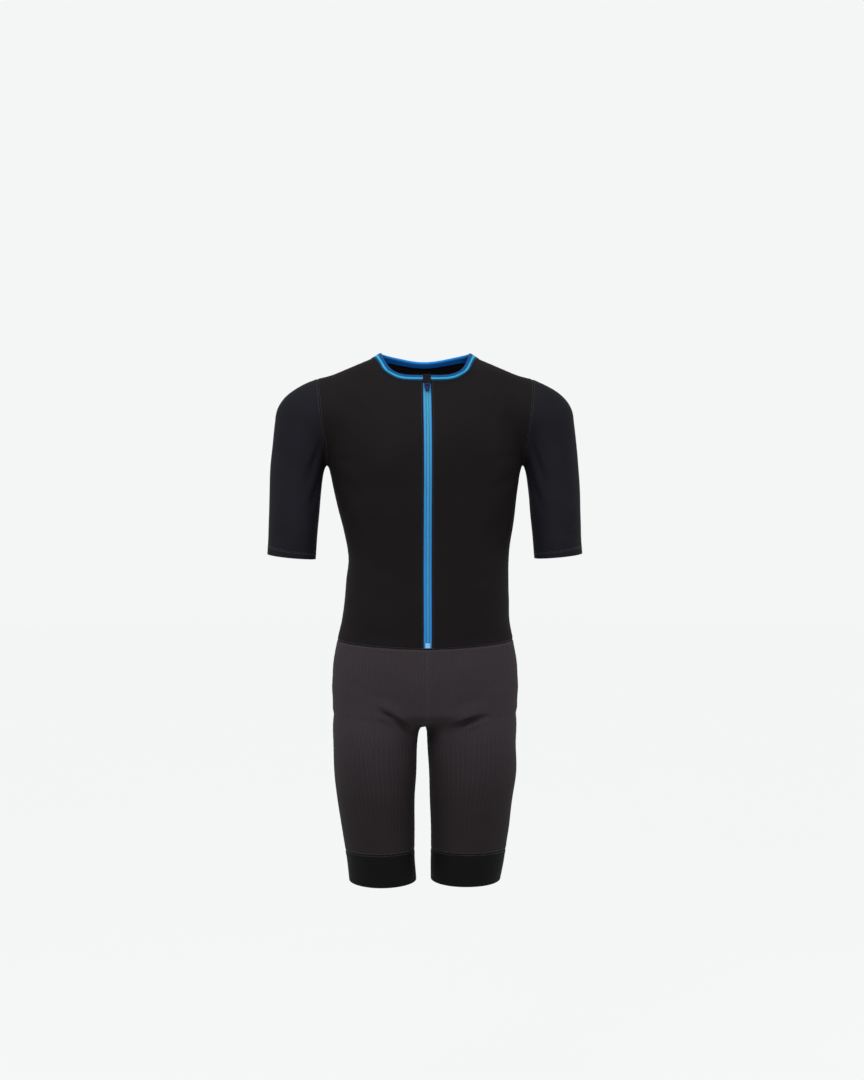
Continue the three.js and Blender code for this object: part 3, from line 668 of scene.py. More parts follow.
def mesh_object(name, points, faces, material, uv=None):
    """An object with its place in its mesh, given in millimetres."""
    mesh = bpy.data.meshes.new(name)
    mesh.from_pydata([tuple(p) for p in np.asarray(points) * MM], [], faces)
    if uv is not None:
        layer = mesh.uv_layers.new(name="cloth")
        corners = np.zeros(len(mesh.loops), dtype=np.int32)
        mesh.loops.foreach_get("vertex_index", corners)
        layer.data.foreach_set("uv", (uv[corners] * MM).astype(np.float32).ravel())
    mesh.polygons.foreach_set("use_smooth", [True] * len(mesh.polygons))
    mesh.materials.append(material)
    mesh.update()
    made = bpy.data.objects.new(name, mesh)
    bpy.context.collection.objects.link(made)
    return made


def shell(name, outer, inner, material, looped=False, across=None, up=None):
    """A closed wall of cloth between an outer and an inner grid."""
    rows, columns = outer.shape[:2]
    count = rows * columns
    index = np.arange(count).reshape(rows, columns)
    if looped:
        index = np.concatenate((index, index[:, :1]), axis=1)
    a, b, c, d = index[:-1, :-1], index[:-1, 1:], index[1:, 1:], index[1:, :-1]
    faces = [np.stack((a, b, c, d), axis=-1).reshape(-1, 4)]
    faces.append(np.stack((a, d, c, b), axis=-1).reshape(-1, 4) + count)
    rims = [(index[0, ::-1]), index[-1]]
    if not looped:
        rims += [index[:, 0], index[::-1, -1]]
    for rim in rims:
        faces.append(np.stack((rim[:-1], rim[:-1] + count, rim[1:] + count, rim[1:]), axis=-1))
    faces = np.concatenate(faces)
    points = np.concatenate((outer.reshape(-1, 3), inner.reshape(-1, 3)))
    corners = points[faces]
    volume = np.einsum(
        "ij,ij->",
        corners[:, 0],
        np.cross(corners[:, 1], corners[:, 2]) + np.cross(corners[:, 2], corners[:, 3]),
    )
    if volume < 0:
        faces = faces[:, ::-1]
    across = arc_lengths(outer, 1) if across is None else across
    up = arc_lengths(outer, 0) if up is None else up
    uv = np.stack(np.broadcast_arrays(across[None, :], up[:, None]), axis=-1).reshape(-1, 2)
    return mesh_object(name, points, faces.tolist(), material, np.concatenate((uv, uv)))


def cloth(panel, thickness, material):
    """The wall of cloth of a panel."""
    inner = panel.grid - panel.normal * thickness
    return shell(panel.name, panel.grid, inner, material, panel.looped, panel.across, panel.up)


# Materials. Sums on a wire add Math nodes.


class Wire:
    """A socket's value in a material."""

    def __init__(self, finish, socket):
        self.finish, self.socket = finish, socket

    def sum(self, operation, first, second):
        return self.finish.node("ShaderNodeMath", {"operation": operation}, {0: first, 1: second})

    def __add__(self, other):
        return self.sum("ADD", self, other)

    def __sub__(self, other):
        return self.sum("SUBTRACT", self, other)

    def __rsub__(self, other):
        return self.sum("SUBTRACT", other, self)

    def __mul__(self, other):
        return self.sum("MULTIPLY", self, other)

    __radd__ = __add__
    __rmul__ = __mul__


class Finish:
    """A material, built node by node round one shader."""

    def __init__(self, name, **constants):
        self.material = bpy.data.materials.new(name)
        self.material.use_nodes = True
        self.tree = self.material.node_tree
        self.shader = next(n for n in self.tree.nodes if n.type == "BSDF_PRINCIPLED")
        self.set(constants)

    def join(self, value, socket):
        if isinstance(value, Wire):
            self.tree.links.new(value.socket, socket)
        else:
            socket.default_value = value

    def node(self, kind, settings=None, inputs=None, output=0):
        """Adds a node: its settings first, then its sockets' values or links."""
        made = self.tree.nodes.new(kind)
        for name, value in (settings or {}).items():
            setattr(made, name, value)
        for key, value in (inputs or {}).items():
            self.join(value, made.inputs[key])
        return Wire(self, made.outputs[output])

    def set(self, values):
        """Sets or joins the shader's own sockets, by name."""
        for name, value in values.items():
            self.join(value, self.shader.inputs[name.replace("_", " ")])

    def places(self):
        """The piece's own place, in metres: across, through and up."""
        whole = self.node("ShaderNodeTexCoord", output="Object")
        split = [self.node("ShaderNodeSeparateXYZ", inputs={0: whole}, output=k) for k in range(3)]
        return whole, *split

    def weave(self):
        """The distances along the cloth, in metres: across and up."""
        uv = self.node("ShaderNodeUVMap", {"uv_map": "cloth"})
        return [self.node("ShaderNodeSeparateXYZ", inputs={0: uv}, output=k) for k in range(2)]

    def wave(self, place, pitch, shift=0.0):
        """A wave from -1 to 1 along a distance."""
        angle = place * (2 * math.pi / pitch) + shift
        return self.node("ShaderNodeMath", {"operation": "SINE"}, {0: angle})

    def noise(self, place, size, detail=2.0, roughness=0.5):
        """Cloudy noise from 0 to 1, with features of a size in metres."""
        return self.node(
            "ShaderNodeTexNoise",
            inputs={"Vector": place, "Scale": 1 / size, "Detail": detail, "Roughness": roughness},
        )

    def between(self, low, high, value):
        """Eases a value from 0 at low to 1 at high."""
        return self.node(
            "ShaderNodeMapRange",
            {"interpolation_type": "SMOOTHSTEP"},
            {"Value": value, "From Min": low, "From Max": high},
        )

    def mix(self, first, second, factor):
        """A colour between two others."""
        return self.node(
            "ShaderNodeMix",
            {"data_type": "RGBA"},
            {"Factor": factor, "A": first, "B": second},
            output=2,
        )

    def shade(self, colour, amount):
        """A colour made lighter or darker by a factor round 1."""
        if not isinstance(colour, Wire):
            colour = colour[:3]
        return self.node(
            "ShaderNodeVectorMath", {"operation": "SCALE"}, {0: colour, "Scale": amount}
        )

    def bump(self, height, depth, strength=1.0):
        """Joins a height from 0 to 1, worth a depth in metres, to the shader's normal."""
        self.set(
            {
                "Normal": self.node(
                    "ShaderNodeBump",
                    inputs={"Height": height, "Distance": depth, "Strength": strength},
                )
            }
        )


def colour(red, green, blue):
    """A shader colour from the values that a screen shows, of 255."""

    def light(value):
        share = value / 255
        return share / 12.92 if share <= 0.04045 else ((share + 0.055) / 1.055) ** 2.4

    return (light(red), light(green), light(blue), 1.0)


SHEEN = {"Sheen_Weight": 0.018, "Sheen_Roughness": 0.35, "Specular_IOR_Level": 0.05}


def jersey(name, base, worn, wale=0.0011):
    """Fine matt knit: upright wales crossed by courses, mottled a little."""
    made = Finish(name, Sheen_Tint=colour(150, 150, 165), **SHEEN)
    place, _, _, _ = made.places()
    across, up = made.weave()
    clouds = made.noise(place, 0.075)
    flecks = made.noise(place, 0.0016, 1.0)
    tone = 0.90 + clouds * 0.2 + (flecks - 0.5) * 0.34
    made.set({"Base_Color": made.shade(made.mix(base, worn, clouds), tone)})
    loops = made.wave(across, wale) * 0.5 + made.wave(up, wale * 0.8) * 0.3
    made.bump(loops * 0.5 + 0.5 + flecks * 0.6, 0.00012, 0.5)
    made.set({"Roughness": 0.72 + flecks * 0.2})
    return made.material


RIB_PITCH = 0.0035


def ribbed_knit():
    """Knit with fine upright ribs, each second valley deeper, with painted shade that darkens it
    down the leg.
    """
    made = Finish("ribbed_knit", Sheen_Tint=colour(170, 160, 175), **SHEEN)
    place, _, _, height = made.places()
    across, up = made.weave()
    waver = (made.noise(place, 0.05) - 0.5) * 0.0016
    across = across + waver
    fine = made.wave(across, RIB_PITCH) * 0.5 + 0.5
    wide = made.wave(across, 2 * RIB_PITCH, 0.6) * 0.5 + 0.5
    ribs = fine * 0.6 + wide * 0.4
    flecks = made.noise(place, 0.0014, 1.0)
    clouds = made.noise(place, 0.06)
    # Painted shade: the grey darkens from the hip down the leg, as the top light falls off.
    low = made.between(-0.60, -0.80, height)
    base = made.mix(colour(42, 37, 40), colour(31, 27, 29), low)
    tone = 0.74 + ribs * 0.34 + clouds * 0.14 + (flecks - 0.5) * 0.3
    made.set({"Base_Color": made.shade(base, tone), "Roughness": 0.74 + flecks * 0.18})
    courses = made.wave(up, 0.0009) * 0.06
    made.bump(ribs + courses + flecks * 0.18, 0.0006, 0.75)
    return made.material


def gripper_elastic():
    """A dense elastic band, finely corded all round."""
    made = Finish("gripper_elastic", Sheen_Tint=colour(140, 140, 155), **SHEEN)
    place, _, _, _ = made.places()
    across, up = made.weave()
    cords = made.wave(across, 0.0019) * 0.5 + 0.5
    rounds = made.wave(up, 0.0032) * 0.5 + 0.5
    flecks = made.noise(place, 0.0013, 1.0)
    tone = 0.80 + cords * 0.16 + rounds * 0.1 + (flecks - 0.5) * 0.3
    made.set({"Base_Color": made.shade(colour(12, 12, 13), tone), "Roughness": 0.66 + flecks * 0.2})
    made.bump(cords * 0.6 + rounds * 0.4 + flecks * 0.2, 0.00035, 0.7)
    return made.material


def binding_elastic():
    """Blue folded elastic with fine cross cords, with painted light and shade in bands across its
    fold: painted shade at the outer edge, a painted highlight band, painted shade above it, the top
    painted dark at the front and light at the back, and painted shade down the inner side.
    """
    made = Finish("binding_elastic", Roughness=0.62, Sheen_Tint=colour(120, 200, 235), **SHEEN)
    place, _, behind, _ = made.places()
    across, up = made.weave()
    cords = made.wave(across, 0.0012) * 0.5 + 0.5
    clouds = made.noise(place, 0.03)
    # Painted light and shade over the top of the fold: dark at the front of the neck and light at
    # the back, lit and shaded copies of one blue.
    painted_fold_top_light = made.mix(colour(7, 50, 90), colour(20, 106, 172), made.between(-0.03, 0.03, behind))
    # A painted highlight band low on the outer face.
    painted_highlight_band = made.mix(colour(34, 118, 152), colour(46, 134, 164), clouds)
    # Bands up the fold from the outer edge: painted shade, the painted highlight band, painted
    # shade, the top's painted light and shade, and painted shade down the inner side.
    base = made.mix(colour(10, 50, 78), painted_highlight_band, made.between(0.0024, 0.0034, up))
    base = made.mix(base, colour(8, 60, 104), made.between(0.0054, 0.0066, up))
    base = made.mix(base, painted_fold_top_light, made.between(0.0086, 0.0104, up))
    base = made.mix(base, colour(8, 60, 116), made.between(0.0138, 0.0158, up))
    made.set({"Base_Color": made.shade(base, 0.93 + cords * 0.12)})
    made.bump(cords + made.noise(place, 0.001, 1.0) * 0.4, 0.00018, 0.6)
    return made.material


def zip_tape_weave():
    """Woven tape in a fine herringbone, with painted light that makes it lighter at the top and
    painted shade at its outer edge, so it is lighter beside the coil.
    """
    made = Finish("zip_tape_weave", Roughness=0.7, Sheen_Weight=0.12, Specular_IOR_Level=0.3)
    place, x, _, height = made.places()
    _, up = made.weave()
    # Painted light: the tape's blue is lighter at the top of the zip, as the top light falls.
    drop = made.between(-0.06, -0.42, height)
    blue = made.mix(colour(28, 116, 156), colour(12, 106, 164), drop)
    side = made.node("ShaderNodeMath", {"operation": "ABSOLUTE"}, {0: x})
    # Painted shade along the tape's outer edge, beside the edge of the front.
    edge = made.between(0.0054, 0.0070, side)
    base = made.mix(blue, colour(9, 84, 148), edge)
    twill = made.wave(up + side * 1.4, 0.0011) * 0.5 + 0.5
    made.set({"Base_Color": made.shade(base, 0.88 + twill * 0.2)})
    made.bump(twill + made.noise(place, 0.0008, 1.0) * 0.3, 0.00015, 0.6)
    return made.material


def coil_nylon():
    """Smooth dyed nylon, in a lighter blue than the tape as a painted highlight, with painted light
    that makes it lighter towards the top.
    """
    made = Finish("coil_nylon", Roughness=0.42, Specular_IOR_Level=0.5)
    place, _, _, height = made.places()
    # Painted light: the coil's blue is lighter at the top of the zip.
    drop = made.between(-0.06, -0.42, height)
    blue = made.mix(colour(46, 132, 166), colour(26, 124, 176), drop)
    made.set({"Base_Color": made.shade(blue, 0.9 + made.noise(place, 0.004) * 0.2)})
    return made.material


def navy_enamel():
    """Satin enamel over cast metal, faintly uneven and worn lighter in spots."""
    made = Finish("navy_enamel", Specular_IOR_Level=0.07)
    place, _, _, _ = made.places()
    clouds = made.noise(place, 0.003)
    made.set(
        {
            "Base_Color": made.mix(colour(12, 17, 48), colour(19, 25, 64), clouds),
            "Roughness": 0.4 + clouds * 0.16,
        }
    )
    made.bump(made.noise(place, 0.0012, 2.0), 0.00005, 0.5)
    return made.material


def stop_plastic():
    """Pale moulded plastic with a soft sheen."""
    made = Finish("stop_plastic", Specular_IOR_Level=0.5)
    place, _, _, _ = made.places()
    clouds = made.noise(place, 0.002)
    made.set(
        {
            "Base_Color": made.mix(colour(92, 138, 174), colour(112, 158, 190), clouds),
            "Roughness": 0.38 + clouds * 0.12,
        }
    )
    made.bump(clouds, 0.00006, 0.5)
    return made.material


def sewing_thread(name, base):
    """Twisted polyester thread."""
    made = Finish(name, Roughness=0.6, Sheen_Weight=0.1, Specular_IOR_Level=0.4)
    place, _, _, _ = made.places()
    made.set({"Base_Color": made.shade(base, 0.8 + made.noise(place, 0.0012) * 0.4)})
    return made.material


BACKGROUND = colour(244, 246, 246)


def pale_backdrop():
    """The studio's floor: an even pale surface that takes only faint shadows."""
    made = Finish("pale_backdrop", Roughness=0.95, Specular_IOR_Level=0.0)
    place, _, _, _ = made.places()
    grain = made.noise(place, 0.4)
    made.set(
        {
            "Base_Color": made.mix((0.028, 0.028, 0.028, 1), (0.032, 0.032, 0.032, 1), grain),
            "Emission_Color": BACKGROUND,
            "Emission_Strength": 0.965,
        }
    )
    return made.material


# Geometry node trees.


class Steps:
    """A tree of geometry nodes, with its named inputs."""

    def __init__(self, name, **inputs):
        self.tree = bpy.data.node_groups.new(name, "GeometryNodeTree")
        sockets = self.tree.interface
        sockets.new_socket("Geometry", in_out="INPUT", socket_type="NodeSocketGeometry")
        sockets.new_socket("Geometry", in_out="OUTPUT", socket_type="NodeSocketGeometry")
        self.given = {}
        for label, kind in inputs.items():
            made = sockets.new_socket(label, in_out="INPUT", socket_type="NodeSocket" + kind)
            self.given[label] = made.identifier
        self.entry = self.tree.nodes.new("NodeGroupInput")
        self.exit = self.tree.nodes.new("NodeGroupOutput")

    def input(self, label):
        return self.entry.outputs[label]

    def node(self, kind, settings=None, inputs=None):
        """Adds a node: its settings first, then its sockets' values or links."""
        made = self.tree.nodes.new(kind)
        for name, value in (settings or {}).items():
            setattr(made, name, value)
        for key, value in (inputs or {}).items():
            if isinstance(value, bpy.types.NodeSocket):
                self.tree.links.new(value, made.inputs[key])
            else:
                made.inputs[key].default_value = value
        return made

    def even_points(self):
        """Points at even steps along the lines that come in."""
        line = self.node("GeometryNodeMeshToCurve", inputs={0: self.input("Geometry")})
        return self.node(
            "GeometryNodeResampleCurve",
            {"mode": "LENGTH"},
            {"Curve": line.outputs[0], "Length": self.input("Pitch")},
        ).outputs[0]

    def lay(self, points, piece, smooth=False, **turn_and_size):
        """Lays a piece at each point, makes it real and gives it its material."""
        made = self.node(
            "GeometryNodeInstanceOnPoints",
            inputs={"Points": points, "Instance": piece, **turn_and_size},
        )
        made = self.node("GeometryNodeRealizeInstances", inputs={0: made.outputs[0]})
        if smooth:
            made = self.node("GeometryNodeSetShadeSmooth", inputs={0: made.outputs[0]})
        made = self.node(
            "GeometryNodeSetMaterial",
            inputs={"Geometry": made.outputs[0], "Material": self.input("Material")},
        )
        self.tree.links.new(made.outputs[0], self.exit.inputs[0])

    def applied(self, made, **values):
        """A plain mesh object in place of one that these steps work on."""
        modifier = made.modifiers.new("steps", "NODES")
        modifier.node_group = self.tree
        for label, value in values.items():
            modifier[self.given[label]] = value
        made.update_tag()
        seen = bpy.context.evaluated_depsgraph_get()
        mesh = bpy.data.meshes.new_from_object(made.evaluated_get(seen))
        made.modifiers.remove(modifier)
        spare = made.data
        made.data = mesh
        bpy.data.meshes.remove(spare)
        return made


def stitch_steps():
    """Lays a stitch at even steps along each line of a mesh, turned along it."""
    steps = Steps(
        "stitch_row", Pitch="Float", Length="Float", Radius="Float", Material="Material"
    )
    tangent = steps.node("GeometryNodeInputTangent")
    turned = steps.node(
        "FunctionNodeAlignRotationToVector", {"axis": "Z"}, {"Vector": tangent.outputs[0]}
    )
    bead = steps.node("GeometryNodeMeshIcoSphere", inputs={"Radius": 1.0, "Subdivisions": 1})
    radius, length = steps.input("Radius"), steps.input("Length")
    size = steps.node("ShaderNodeCombineXYZ", inputs={0: radius, 1: radius, 2: length})
    steps.lay(
        steps.even_points(),
        bead.outputs["Mesh"],
        smooth=True,
        Rotation=turned.outputs[0],
        Scale=size.outputs[0],
    )
    return steps


def tooth_steps():
    """Lays a coil's teeth at even steps along each line, across it and a little aslant."""
    numbers = dict.fromkeys(("Pitch", "Across", "Along", "Slant"), "Float")
    steps = Steps("coil_teeth", **numbers, Material="Material")
    tooth = steps.node(
        "GeometryNodeMeshCylinder",
        inputs={"Vertices": 8, "Side Segments": 1, "Radius": 1.0, "Depth": 2.0},
    )
    slant = steps.node("ShaderNodeCombineXYZ", inputs={1: math.pi / 2, 2: steps.input("Slant")})
    laid_down = steps.node(
        "GeometryNodeTransform",
        inputs={"Geometry": tooth.outputs["Mesh"], "Rotation": slant.outputs[0]},
    )
    across, along = steps.input("Across"), steps.input("Along")
    size = steps.node("ShaderNodeCombineXYZ", inputs={0: across, 1: along, 2: along})
    steps.lay(steps.even_points(), laid_down.outputs[0], Scale=size.outputs[0])
    return steps


def line_object(name, lines):
    """An object of plain lines, for steps to work along, given in millimetres."""
    points, edges = [], []
    for line in lines:
        first = len(points)
        points.extend(tuple(p) for p in line * MM)
        edges.extend((first + k, first + k + 1) for k in range(len(line) - 1))
    mesh = bpy.data.meshes.new(name)
    mesh.from_pydata(points, edges, [])
    made = bpy.data.objects.new(name, mesh)
    bpy.context.collection.objects.link(made)
    return made


STITCH = {"pitch": 2.7, "half_length": 1.12, "radius": 0.27}


def stitched(name, lines, thread):
    """Rows of stitches along lines, as one piece."""
    return STITCHES.applied(
        line_object(name, lines),
        Pitch=STITCH["pitch"] * MM,
        Length=STITCH["half_length"] * MM,
        Radius=STITCH["radius"] * MM,
        Material=thread,
    )


TOOTH = {"pitch": 1.5, "row": 0.92, "lift": -0.35, "half_length": 1.02, "radius": 0.56}
CORD = {"half": 1.8, "depth": 0.75, "thick": 1.2}
TAPE_CLOTH = 0.7
GARAGE_CLOTH = 0.8

STITCHES = stitch_steps()
TEETH = tooth_steps()

# Small hard pieces, in a frame of their own: x across, y out of the cloth below 0, z up.

SLIDER = {
    "z": -55,
    "lift": 0.4,
    "half": 5.4,
    "throat": 4.2,
    "length": 9.5,
    "thick": 2.0,
    "post_half": 0.8,
    "post_radius": 2.2,
    "hole_radius": 1.1,
    "pin_radius": 0.75,
    "pin_up": 1.6,
}
TAB = {"arm_inner": 1.15, "half": 3.8, "thick": 1.3, "drop": 12.5, "window_drop": 3.6}
PIN_DEPTH = SLIDER["thick"] + SLIDER["post_radius"] - 0.4


def add_plate(build, outline, low, high, bevel):
    """Adds a plate between two depths out from the cloth, with its edges rounded over."""
    face = build.faces.new([build.verts.new((x, -high, z)) for x, z in outline])
    made = bmesh.ops.extrude_face_region(build, geom=[face])["geom"]
    back = [v for v in made if isinstance(v, bmesh.types.BMVert)]
    bmesh.ops.translate(build, vec=(0, high - low, 0), verts=back)
    edges = {e for v in back + list(face.verts) for e in v.link_edges}
    bmesh.ops.bevel(build, geom=list(edges), offset=bevel, segments=3, profile=0.5, affect="EDGES")


def add_bar(build, radius, half, depth, up, hole=0.0, sides=28):
    """Adds a round bar or a ring across the suit, with its rims rounded over."""
    rim = min(0.25, radius / 3)
    profile = [(-half, radius - rim), (-half + rim, radius), (half - rim, radius)]
    profile.append((half, radius - rim))
    inner = [(half, hole), (-half, hole)] if hole else []
    rings = []
    for k in range(sides):
        a = 2 * math.pi * k / sides
        rings.append(
            [
                build.verts.new((x, -depth + r * math.cos(a), up + r * math.sin(a)))
                for x, r in profile + inner
            ]
        )
    for k, ring in enumerate(rings):
        after = rings[(k + 1) % sides]
        last = len(ring) if hole else len(ring) - 1
        for j in range(last):
            i = (j + 1) % len(ring)
            build.faces.new((ring[j], ring[i], after[i], after[j]))
    if not hole:
        build.faces.new([ring[0] for ring in rings])
        build.faces.new([ring[-1] for ring in rings])


def hard_object(name, build, seat, lean, material):
    """Puts a small piece on the cloth, at a seat and turned to its slope."""
    bmesh.ops.recalc_face_normals(build, faces=build.faces)
    turn = Matrix.Rotation(-math.atan2(lean[2], -lean[1]), 4, "X")
    place = Matrix.Translation(Vector(seat * MM)) @ turn @ Matrix.Scale(MM, 4)
    build.transform(place)
    mesh = bpy.data.meshes.new(name)
    build.to_mesh(mesh)
    build.free()
    mesh.materials.append(material)
    mesh.set_sharp_from_angle(angle=math.radians(50))
    made = bpy.data.objects.new(name, mesh)
    bpy.context.collection.objects.link(made)
    return made


def zip_slider(seat, lean):
    """A tapered body between two flanges, and an eye on a bridge for the tab's pin."""
    build = bmesh.new()
    half, throat, top = SLIDER["half"], SLIDER["throat"], SLIDER["length"] / 2
    body = [(-half, top - 1.5), (-throat, -top), (throat, -top), (half, top - 1.5)]
    body += [(throat, top), (0.9, top - 0.7), (-0.9, top - 0.7), (-throat, top)]
    add_plate(build, body, 0.9, SLIDER["thick"], 0.35)
    add_plate(build, [(x * 0.96, z * 0.97) for x, z in body], 0.0, 0.8, 0.2)
    for side in (-1, 1):
        rail = [(side * (half - 0.8), top - 1.7), (side * (throat - 0.8), -top + 0.3)]
        rail += [(side * (throat - 0.15), -top + 0.3), (side * (half - 0.15), top - 1.7)]
        add_plate(build, rail, 0.3, SLIDER["thick"] + 0.25, 0.18)
    post, radius, up = SLIDER["post_half"], SLIDER["post_radius"], SLIDER["pin_up"]
    foot = [(-post, up - radius), (post, up - radius), (post, up + radius), (-post, up + radius)]
    add_plate(build, foot, SLIDER["thick"] - 0.4, PIN_DEPTH - SLIDER["hole_radius"] - 0.3, 0.15)
    add_bar(build, radius, post, PIN_DEPTH, up, SLIDER["hole_radius"])
    return hard_object("slider_body", build, seat, lean, NAVY)


def pull_tab(seat, lean):
    """A paddle with a window for the bridge, hung from its pin."""
    build = bmesh.new()
    up, half, arm = SLIDER["pin_up"], TAB["half"], TAB["arm_inner"]
    thick, low, window = TAB["thick"] / 2, up - TAB["drop"], up - TAB["window_drop"]
    arcs = [math.radians(270 + 15 * k) for k in range(7)]
    corner = 1.9
    right = [(half - corner + corner * math.cos(a), low + corner * (1 + math.sin(a))) for a in arcs]
    left = [(-x, z) for x, z in reversed(right)]
    waist = [(half - 0.5, low + 6.4), (half - 0.35, window)]
    paddle = right + waist + [(-x, z) for x, z in reversed(waist)] + left
    add_plate(build, paddle, PIN_DEPTH - thick, PIN_DEPTH + thick, 0.32)
    grip = [(x * 0.62, (z - low - 4.2) * 0.5 + low + 4.2) for x, z in right + left]
    add_plate(build, grip, PIN_DEPTH, PIN_DEPTH + thick + 0.22, 0.15)
    for side in (-1, 1):
        inner, outer = side * arm, side * (half - 0.35)
        arm_outline = [(inner, window - 0.5), (outer, window - 0.5), (outer, up), (inner, up)]
        add_plate(build, arm_outline, PIN_DEPTH - thick, PIN_DEPTH + thick, 0.28)
    add_bar(build, SLIDER["pin_radius"], half, PIN_DEPTH, up)
    return hard_object("pull_tab_paddle", build, seat, lean, NAVY)


def bottom_stop(seat, lean):
    """A moulded box over the ends of the coil, with a groove across it."""
    build = bmesh.new()
    half, tall = 4.3, (STOP_TOP - ZIP_BOTTOM) / 2 - 0.3
    box = [(-half, -tall), (half, -tall), (half, tall - 0.8), (half - 1.2, tall)]
    box += [(-half + 1.2, tall), (-half, tall - 0.8)]
    add_plate(build, box, -1.3, 0.8, 0.4)
    for low, high in ((-tall + 0.6, -0.5), (0.4, tall - 0.9)):
        bar = [(-half + 0.7, low), (half - 0.7, low), (half - 0.7, high), (-half + 0.7, high)]
        add_plate(build, bar, 0.2, 1.25, 0.3)
    return hard_object("bottom_stop_box", build, seat, lean, PALE)


# Folded and woven pieces.


def rounded(path):
    """A path with its corners cut twice, its ends kept."""
    path = np.array(path, float)
    for _ in range(2):
        near = lerp(path[:-1], path[1:], 0.25)
        far = lerp(path[:-1], path[1:], 0.75)
        middle = np.stack((near, far), axis=1).reshape(-1, path.shape[1])
        path = np.concatenate((path[:1], middle, path[-1:]))
    return path


def fold_sides(path, thick):
    """The outer and inner line of a folded strip, from the middle line of its outer face."""
    along = unit(np.gradient(path, axis=0))
    across = np.stack((-along[:, 1], along[:, 0]), axis=-1)
    return path, path + across * thick


# The fold of a binding from its outer edge over the top to its inner edge: rise and lift.
BINDING_FOLD = [
    (-1.4, 0.3),
    (0.6, 1.1),
    (3.0, 1.5),
    (5.4, 1.3),
    (6.9, 0.3),
    (7.2, -0.75),
    (6.6, -1.8),
    (3.6, -2.5),
    (-1.6, -2.6),
]
# The fold over the top of the zip, from the front over the edge and down behind.
GARAGE_HALF = 6.4
GARAGE_FOLD = [
    (-50, 2.1),
    (-48.5, 2.3),
    (-43, 2.3),
    (-36.3, 2.1),
    (-33.9, 0.6),
    (-33.3, -1.6),
    (-33.9, -4.4),
    (-36.5, -5.3),
    (-46, -5.3),
]


def neck_binding():
    """A strip of elastic folded over the raw edge of the neck, ending at the zip."""
    first = neck_degrees_at(ZIP_HALF_GAP - 0.3)
    turns = np.linspace(first, 360 - first, 191)
    outer, inner = fold_sides(rounded(BINDING_FOLD), BINDING_CLOTH)
    seam = neck_seam(turns)
    out = outward(seam)
    layers = []
    for line in (outer, inner):
        rows = []
        for rise, lift in line:
            base = neck_seam(turns, rise)
            uneven = 0.10 * np.sin(turns * 0.21) + 0.06 * np.sin(turns * 0.53 + 1)
            rows.append(base + out * (lift + uneven)[:, None])
        layers.append(np.array(rows))
    return shell("binding_fold", layers[0], layers[1], BINDING)


def zip_tape(side):
    """One woven tape, from beside the coil to behind the edge of the front."""
    across = np.linspace(TAPE_INNER_X, TAPE_OUTER_X, 13)
    heights = np.linspace(ZIP_BOTTOM, ZIP_TOP, 171)
    face = front_at(side * across[None, :], heights[:, None])
    lift = -2.15 + 0.35 * np.exp(-((across - TAPE_INNER_X) ** 2) / 1.2)
    out = outward(face)
    outer = face + out * lift[None, :, None]
    name = "zip_tape_" + side_name(side) + "_weave"
    return shell(name, outer, outer - out * TAPE_CLOTH, TAPE)


def coil_line(x, low, high, lift):
    heights = np.linspace(low, high, 161)
    face = front_at(np.full(heights.shape, float(x)), heights)
    return face + outward(face) * lift


def zip_coil():
    """The closed coil: two rows of teeth that mesh, over a cord."""
    pitch, row, lift = TOOTH["pitch"], TOOTH["row"], TOOTH["lift"]
    lines = [
        coil_line(-row, STOP_TOP, ZIP_TOP, lift),
        coil_line(row, STOP_TOP + pitch / 2, ZIP_TOP, lift),
    ]
    teeth = TEETH.applied(
        line_object("coil_teeth", lines),
        Pitch=pitch * MM,
        Across=TOOTH["half_length"] * MM,
        Along=TOOTH["radius"] * MM,
        Slant=0.0,
        Material=COIL,
    )
    across = np.linspace(-CORD["half"], CORD["half"], 7)
    heights = np.linspace(STOP_TOP, ZIP_TOP, 121)
    face = front_at(across[None, :], heights[:, None])
    out = outward(face)
    outer = face - out * CORD["depth"]
    cord = shell("coil_cord", outer, outer - out * CORD["thick"], TAPE)
    return teeth, cord


def zip_garage():
    """A small fold of knit over the top of the zip."""
    across = np.linspace(-GARAGE_HALF, GARAGE_HALF, 15)
    layers = []
    for line in fold_sides(rounded(GARAGE_FOLD), -GARAGE_CLOTH):
        rows = []
        for height, lift in line:
            face = front_at(across, np.full(across.shape, height))
            crown = 0.25 * np.cos(across / GARAGE_HALF * math.pi / 2)
            out = outward(face)
            rows.append(face + out * (lift + crown * (1 if lift > 0 else -1))[:, None])
        layers.append(np.array(rows))
    return shell("garage_fold", layers[0], layers[1], JERSEY)


# Finishes.
JERSEY = jersey("body_jersey", colour(15, 12, 13), colour(19, 16, 17))
SLEEVE_JERSEY = jersey("sleeve_jersey", colour(15, 15, 19), colour(20, 20, 25), 0.0013)
RIBBED = ribbed_knit()
GRIPPER = gripper_elastic()
BINDING = binding_elastic()
TAPE = zip_tape_weave()
COIL = coil_nylon()
NAVY = navy_enamel()
PALE = stop_plastic()
BLACK_THREAD = sewing_thread("black_thread", colour(34, 31, 34))
GREY_THREAD = sewing_thread("grey_thread", colour(50, 47, 51))
BLUE_THREAD = sewing_thread("blue_thread", colour(26, 130, 190))

# How much a worn panel is stretched from its cut, round the body and up it.
GIRTH_STRETCH = 1.12
LENGTH_STRETCH = 1.04


